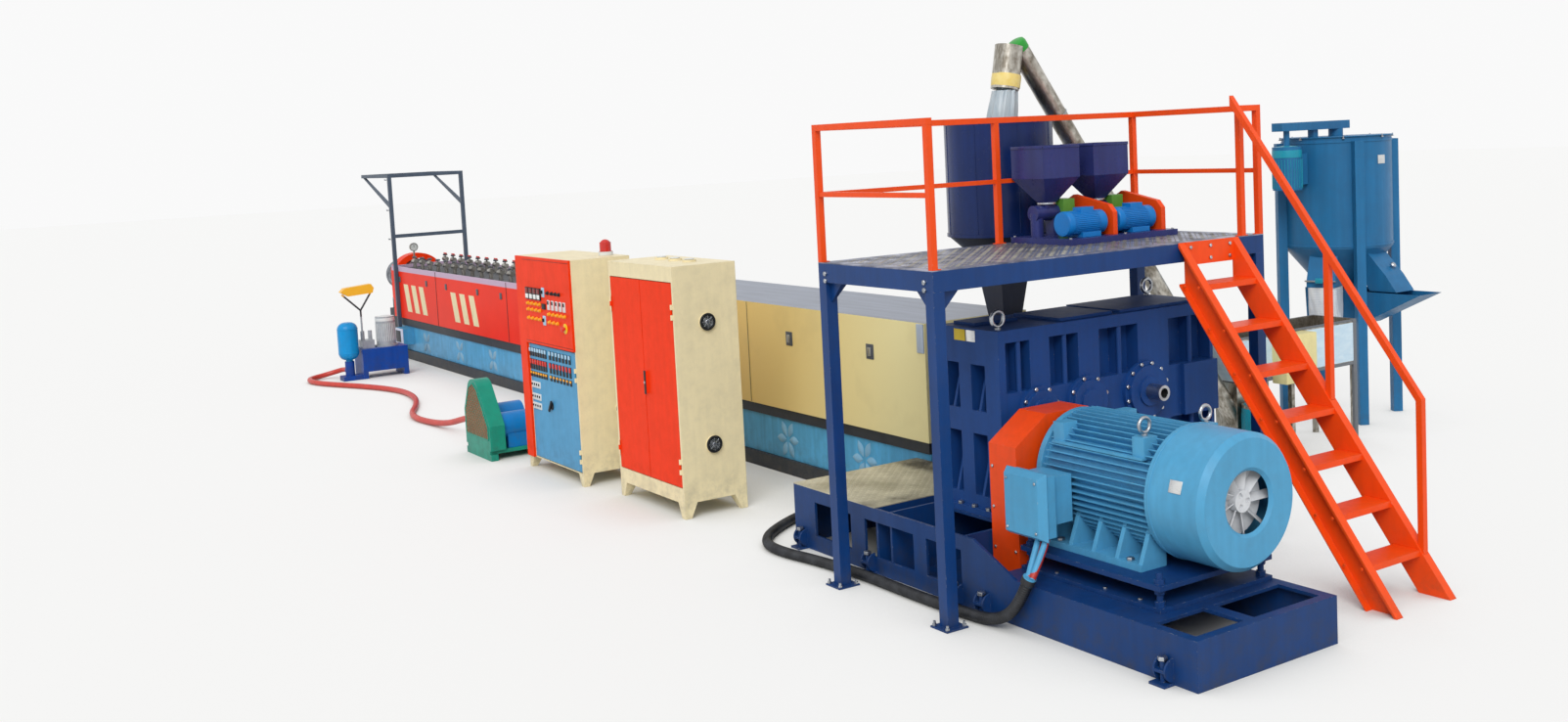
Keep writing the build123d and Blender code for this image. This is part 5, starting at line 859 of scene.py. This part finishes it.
# Cabinets: folded and welded sheet steel boxes in cream powder coat with red and blue doors, vents in the
# roof, fan grilles in the end and a red lamp on top
finish_nodes(enamel("cream_cabinet_enamel", "#eddfb6", worn="#8f9188", grime="#7b7a70", wear=0.15, rough=0.36,
                    mottle=0.05), "cabinet_body", "control_body")
cabinet_red = enamel("red_cabinet_enamel", "#f23a10", worn="#dd8c78", grime="#8c2a14", wear=0.15, rough=0.3,
                     mottle=0.05, shine=0.06)
finish_nodes(cabinet_red, "cabinet_door_left", "cabinet_door_right", "control_panel")
finish_nodes(enamel("light_blue_door_enamel", "#4898c6", worn="#b4c2cc", grime="#3f5a70", wear=0.15, rough=0.34,
                    mottle=0.07), "control_door")
moulded_black = enamel("black_moulded_fittings", "#1d1f22", worn="#3a3c40", grime="#45433f", wear=0.1,
                       rough=0.4, mottle=0.06)
pale_fittings = enamel("pale_grey_fittings", "#d9dcdc", worn="#b4b6b6", grime="#77756e", wear=0.1,
                       rough=0.35, mottle=0.05)
fan_spots = [(-2.356, -1.612, 0.554), (-2.356, -1.612, 1.515), (-3.986, -1.61, 0.64), (-3.986, -1.61, 1.56)]
turned("fan_grille_rings", [(0.0001, 0), (0.067, 0.0), (0.069, 0.005), (0.064, 0.011), (0.052, 0.011), (0.05, 0.007),
                            (0.0001, 0.007)], fan_spots, moulded_black, to_motor, sides=40)
bolts("fan_grille_hubs", (0.02, 0.008, 0.015, 0.011), fan_spots, to_motor, sides=24)
wire_rings = [[(x + 0.008, u, v) for u, v in on_circle(y, z, radius, np.linspace(0, 360, 33))]
              for x, y, z in fan_spots for radius in (0.03, 0.041)]
wire_spokes = [[(x + 0.008, *hub), (x + 0.008, *rim)] for x, y, z in fan_spots for hub, rim in
               zip(on_circle(y, z, 0.018, range(0, 360, 45)), on_circle(y, z, 0.054, range(0, 360, 45)))]
tubes("fan_grille_wires", wire_rings + wire_spokes, 0.0016, bright_zinc, sides=6)
turned("roof_vent_caps", [(0.0001, 0), (0.034, 0.0), (0.04, 0.004), (0.036, 0.009), (0.0001, 0.012)],
       [(x, -1.56, 1.98) for x in (-3.18, -2.94, -2.70)], pale_fittings, sides=32)
front_boxes("right_door_handle_grip", [(-2.9, 0)], 0.017, (-1.9135, 0.925), (-1.9085, 1.115), 0.004, moulded_black,
            body="right_door")
bolts("right_door_lock", (0.011, 0.005, 0.008, 0.007), [(-2.9, -1.9125, 1.02)], to_front, sides=20, body="right_door")
finish_nodes(plastic("red_polycarbonate_beacon", "#a3140f", "#dd2a1c", 30, 3, 0.18, 1.585), "beacon")
turned("beacon_collar", [(0.0615, 0.0005), (0.064, 0.0005), (0.064, 0.03), (0.0615, 0.034)], [(-4.26, -1.56, 1.956)],
       pale_fittings, sides=48)

# Instruments: moulded plastic meters, switches and knobs set in the control cabinet's red panel, each in
# its punched hole and held from behind
dial_white = enamel("white_meter_face", "#eef0ee", wear=0.05, rough=0.25, mottle=0.03)
dial_red = enamel("dark_red_meter_face", "#7c1a18", wear=0.05, rough=0.25, mottle=0.05)
switch_blue = enamel("pale_blue_switch_plate", "#a9cfe8", wear=0.05, rough=0.3, mottle=0.04)
knob_amber = enamel("amber_knob_cap", "#f6a81c", wear=0.05, rough=0.3, mottle=0.05)
face = -2.03
large_meters = [(x, 0) for x in (-4.942, -4.854, -4.766, -4.682)]
small_meters = [(x, 0) for x in (-4.471, -4.383, -4.296, -4.212, -4.132)]
switches = [(-4.59, z) for z in (1.652, 1.402)]
for title, spots, half, low, high, radius, finish in (
        ("large_meter_cases", large_meters, 0.0385, (-0.014, 1.575), (0.001, 1.682), 0.004, moulded_black),
        ("large_meter_displays", large_meters, 0.031, (-0.0165, 1.632), (-0.012, 1.674), 0.002, dial_red),
        ("large_meter_keys", large_meters, 0.031, (-0.0165, 1.584), (-0.012, 1.624), 0.002, dial_white),
        ("switch_plates", switches, 0.03, (-0.008, -0.043), (0.001, 0.043), 0.004, switch_blue),
        ("switch_levers", switches, 0.007, (-0.026, -0.012), (-0.006, 0.02), 0.004, moulded_black),
        ("counter_window", [(-4.59, 0)], 0.04, (-0.01, 1.502), (0.001, 1.552), 0.004, moulded_black),
        ("small_meter_cases", small_meters, 0.023, (-0.012, 1.505), (0.001, 1.591), 0.004, pale_fittings),
        ("small_meter_displays", small_meters, 0.017, (-0.0145, 1.552), (-0.0105, 1.583), 0.002, moulded_black)):
    front_boxes(title, spots, half, (face + low[0], low[1]), (face + high[0], high[1]), radius, finish)
knob_profile = [(0.0001, 0), (0.018, 0.0), (0.018, 0.004), (0.0145, 0.006), (0.013, 0.02), (0.011, 0.023),
                (0.0001, 0.023)]
turned("black_knobs", knob_profile, [(x, face, 1.652) for x in (-4.482, -4.391, -4.311, -4.232)], moulded_black,
       to_front)
amber_spots = [(x, z) for x, _ in large_meters for z in (1.538, 1.483, 1.405)] + [(x, 1.467) for x, _ in small_meters]
amber_spots += [(x, 1.396) for x, _ in small_meters[:3]]
turned("amber_knobs", knob_profile, [(x, face, z) for x, z in amber_spots], knob_amber, to_front)
stop_spot = [(-4.144, face, 1.363)]
bolts("emergency_stop_plate", (0.045, 0.003, 0.043, 0.004), stop_spot, to_front,
      enamel("yellow_stop_plate", "#f5c81e", wear=0.05, rough=0.3, mottle=0.04), sides=40)
turned("emergency_stop_knob", [(0.0001, 0.003), (0.012, 0.003), (0.012, 0.018), (0.025, 0.02), (0.027, 0.028),
                               (0.022, 0.037), (0.0001, 0.04)], stop_spot, handle_red, to_front, sides=32)
front_boxes("panel_trim", [(-4.5285, z) for z in (1.195, 1.93)], 0.5185, (face - 0.003, -0.002), (face + 0.001, 0.002),
            0.001, enamel("dark_panel_joint", "#8c2a1c", wear=0.1, mottle=0.08))

# Push buttons on the blue door: rows of square moulded buttons over dark bezels, and a turning handle of
# black die-cast zinc
face = -2.01
button_rows = [(1.088, 0.073, switch_blue, "pale_buttons"), (0.976, 0.09, handle_red, "red_buttons"),
               (0.885, 0.045, knob_amber, "amber_buttons")]
button_columns = [-5.02 + 0.057 * i for i in range(7)] + [-4.575 + 0.072 * i for i in range(7)]
for z, tall, finish, title in button_rows:
    front_boxes(title, [(x, z) for x in button_columns], 0.017, (face - 0.012, 0.002), (face - 0.002, tall / 2), 0.003,
                finish, body="lower_door")
bezel_boxes = [[(x - 0.021, face - 0.006, z - tall / 2 - 0.003), (x + 0.021, face + 0.001, z + tall / 2 + 0.003)]
               for x in button_columns for z, tall, *_ in button_rows]
rounded_boxes("button_bezels", bezel_boxes, 0.003, moulded_black, body="lower_door")
breakers = [(x, z) for x in (-5.005, -4.955, -4.905, -4.855) for z in (0.79, 0.68, 0.596)]
front_boxes("breaker_cases", breakers, 0.02, (face - 0.009, -0.03), (face + 0.001, 0.03), 0.003, pale_fittings,
            body="lower_door")
front_boxes("breaker_levers", breakers, 0.007, (face - 0.017, -0.006), (face - 0.008, 0.014), 0.002, moulded_black,
            body="lower_door")
bolts("handle_plate", (0.034, 0.006, 0.028, 0.01, 0.012), [(-4.6, face, 0.632)], to_front, moulded_black, sides=32,
      body="lower_door")
front_boxes("handle_lever", [(-4.6, 0)], 0.013, (face - 0.028, 0.572), (face - 0.011, 0.692), 0.006, moulded_black,
            body="lower_door", turn=Matrix.Rotation(math.radians(35), 3, "Y"))

# Booster pump: a green cast bed with a guard of red-leaded wire mesh welded in a rim on its front, and a
# blue flanged motor
pump_green = enamel("green_pump_enamel", "#17907a", worn="#8f9a90", grime="#35524a", wear=0.25,
                    rough=0.36, mottle=0.08)
finish_nodes(pump_green, "pump_base")
finish_nodes(motor_bright_blue, "pump_drive")
mesh_rust = enamel("red_lead_mesh", "#c0562c", worn="#8d6a54", grime="#54402f", wear=0.4, rough=0.5,
                   mottle=0.15)
mesh_rim = np.array([(-6.275, 0.2), (-5.69, 0.2), (-5.69, 0.32), (-5.935, 0.655), (-6.04, 0.705), (-6.15, 0.655),
                     (-6.275, 0.42)])
next_corner = np.roll(mesh_rim, -1, axis=0)
rim_way = next_corner - mesh_rim
rim_inward = np.stack([-rim_way[:, 1], rim_way[:, 0]], axis=1)
mesh_front = -2.2225
lattice = []
for lean in (1, -1):
    # A wire foot + t * way is cut where it enters and leaves the rim's edges
    way = np.array((1.0, lean)) / math.sqrt(2)
    entering = rim_inward @ way > 0
    for offset in np.arange(-0.45, 0.45, 0.032):
        foot = np.array((-6.0, 0.42)) + offset * np.array((way[1], -way[0]))
        reach = ((mesh_rim - foot) * rim_inward).sum(axis=1) / (rim_inward @ way)
        low, high = reach[entering].max(), reach[~entering].min()
        if high - low > 0.02:
            lattice.append([(x, mesh_front, z) for x, z in (foot + low * way, foot + high * way)])
tubes("pump_guard_mesh", lattice, 0.0022, mesh_rust, sides=6)
rim_runs = [[(x, mesh_front, z) for x, z in ends] for ends in zip(mesh_rim, next_corner)]
tubes("pump_guard_rim", rim_runs, 0.006, pump_green, sides=8)

# Hydraulic station: a welded tank with its motor and pump upright on the lid, a steel accumulator bottle
# and a plate on a forked stand beside it
finish_nodes(enamel("hydraulic_tank_blue", "#08429a", grime="#3b3a38", wear=0.3, rough=0.34), "hydraulic_tank")
bottle_blue = enamel("bright_bottle_enamel", "#0c90d2", grime="#3b3a38", wear=0.25, rough=0.24)
finish_nodes(bottle_blue, "accumulator")
station, add, place = new_material("painted_station_parts")
height = add("SeparateXYZ", {}, {"Vector": place}).outputs["Z"]
spots = add("TexNoise", {"Scale": 18, "Detail": 4}, {"Vector": place})
tone = add("MixRGB", {"Color1": linear("#7d838a"), "Color2": linear("#b9bec2")}, {"Fac": spots})
for low, high, paint in ((0.815, 0.82, "#26282c"), (1.1, 1.105, "#f0b429")):
    above = add("MapRange", {"From Min": low, "From Max": high}, {"Value": height})
    tone = add("MixRGB", {"Color2": linear(paint)}, {"Fac": above, "Color1": tone})
coat = add("BsdfPrincipled", {"Roughness": 0.38, "IOR": 1.5}, {"Base Color": tone})
add("OutputMaterial", {}, {"Surface": coat})
finish_nodes(station, "hydraulic_pump")
station_motor = (-12.3, -1.18)
upright_fins("hydraulic_motor_fins", *station_motor, 0.1255, 0.46, 0.7, 0.0035, pale_fittings)
turned("hydraulic_motor_cowl", [(0.0001, 0.012), (0.06, 0.01), (0.11, 0.0), (0.127, -0.02), (0.1275, -0.06),
                                (0.1245, -0.06)], [(*station_motor, 0.79)], pale_fittings, sides=40)
bolts("tank_filler_cap", (0.038, 0.03, 0.032, 0.036, 0.038), [(-12.42, -1.42, 0.39)], material=moulded_black, sides=28)
turned("accumulator_seam", [(0.1285, -0.006), (0.132, -0.004), (0.132, 0.004), (0.1285, 0.006)],
       [(-12.2, -1.71, z) for z in (0.36, 0.68)], bottle_blue, sides=48)

# Die end: cast steel flanges and nose on a welded stand, bolted up with studs, under a red sheet guard
# that is rolled over them
finish_nodes(frame_black, "die_stand")
finish_nodes(metal("cast_steel_die", "#9aa0a8", "#4a4e55", rough=0.42, streaks=(1, 1, 1), grain=10), "die_head")
finish_nodes(cabinet_red, "die_guard")
turned("die_flange_nuts", [(0.0001, 0), (0.02, 0), (0.02, 0.016), (0.016, 0.02), (0.01, 0.02), (0.01, 0.032),
                           (0.0001, 0.032)],
       [(-14.89, y, z) for y, z in on_circle(0.04, 1.1, 0.165, range(0, 360, 36))], bright_zinc, (-1, 0, 0), sides=6)
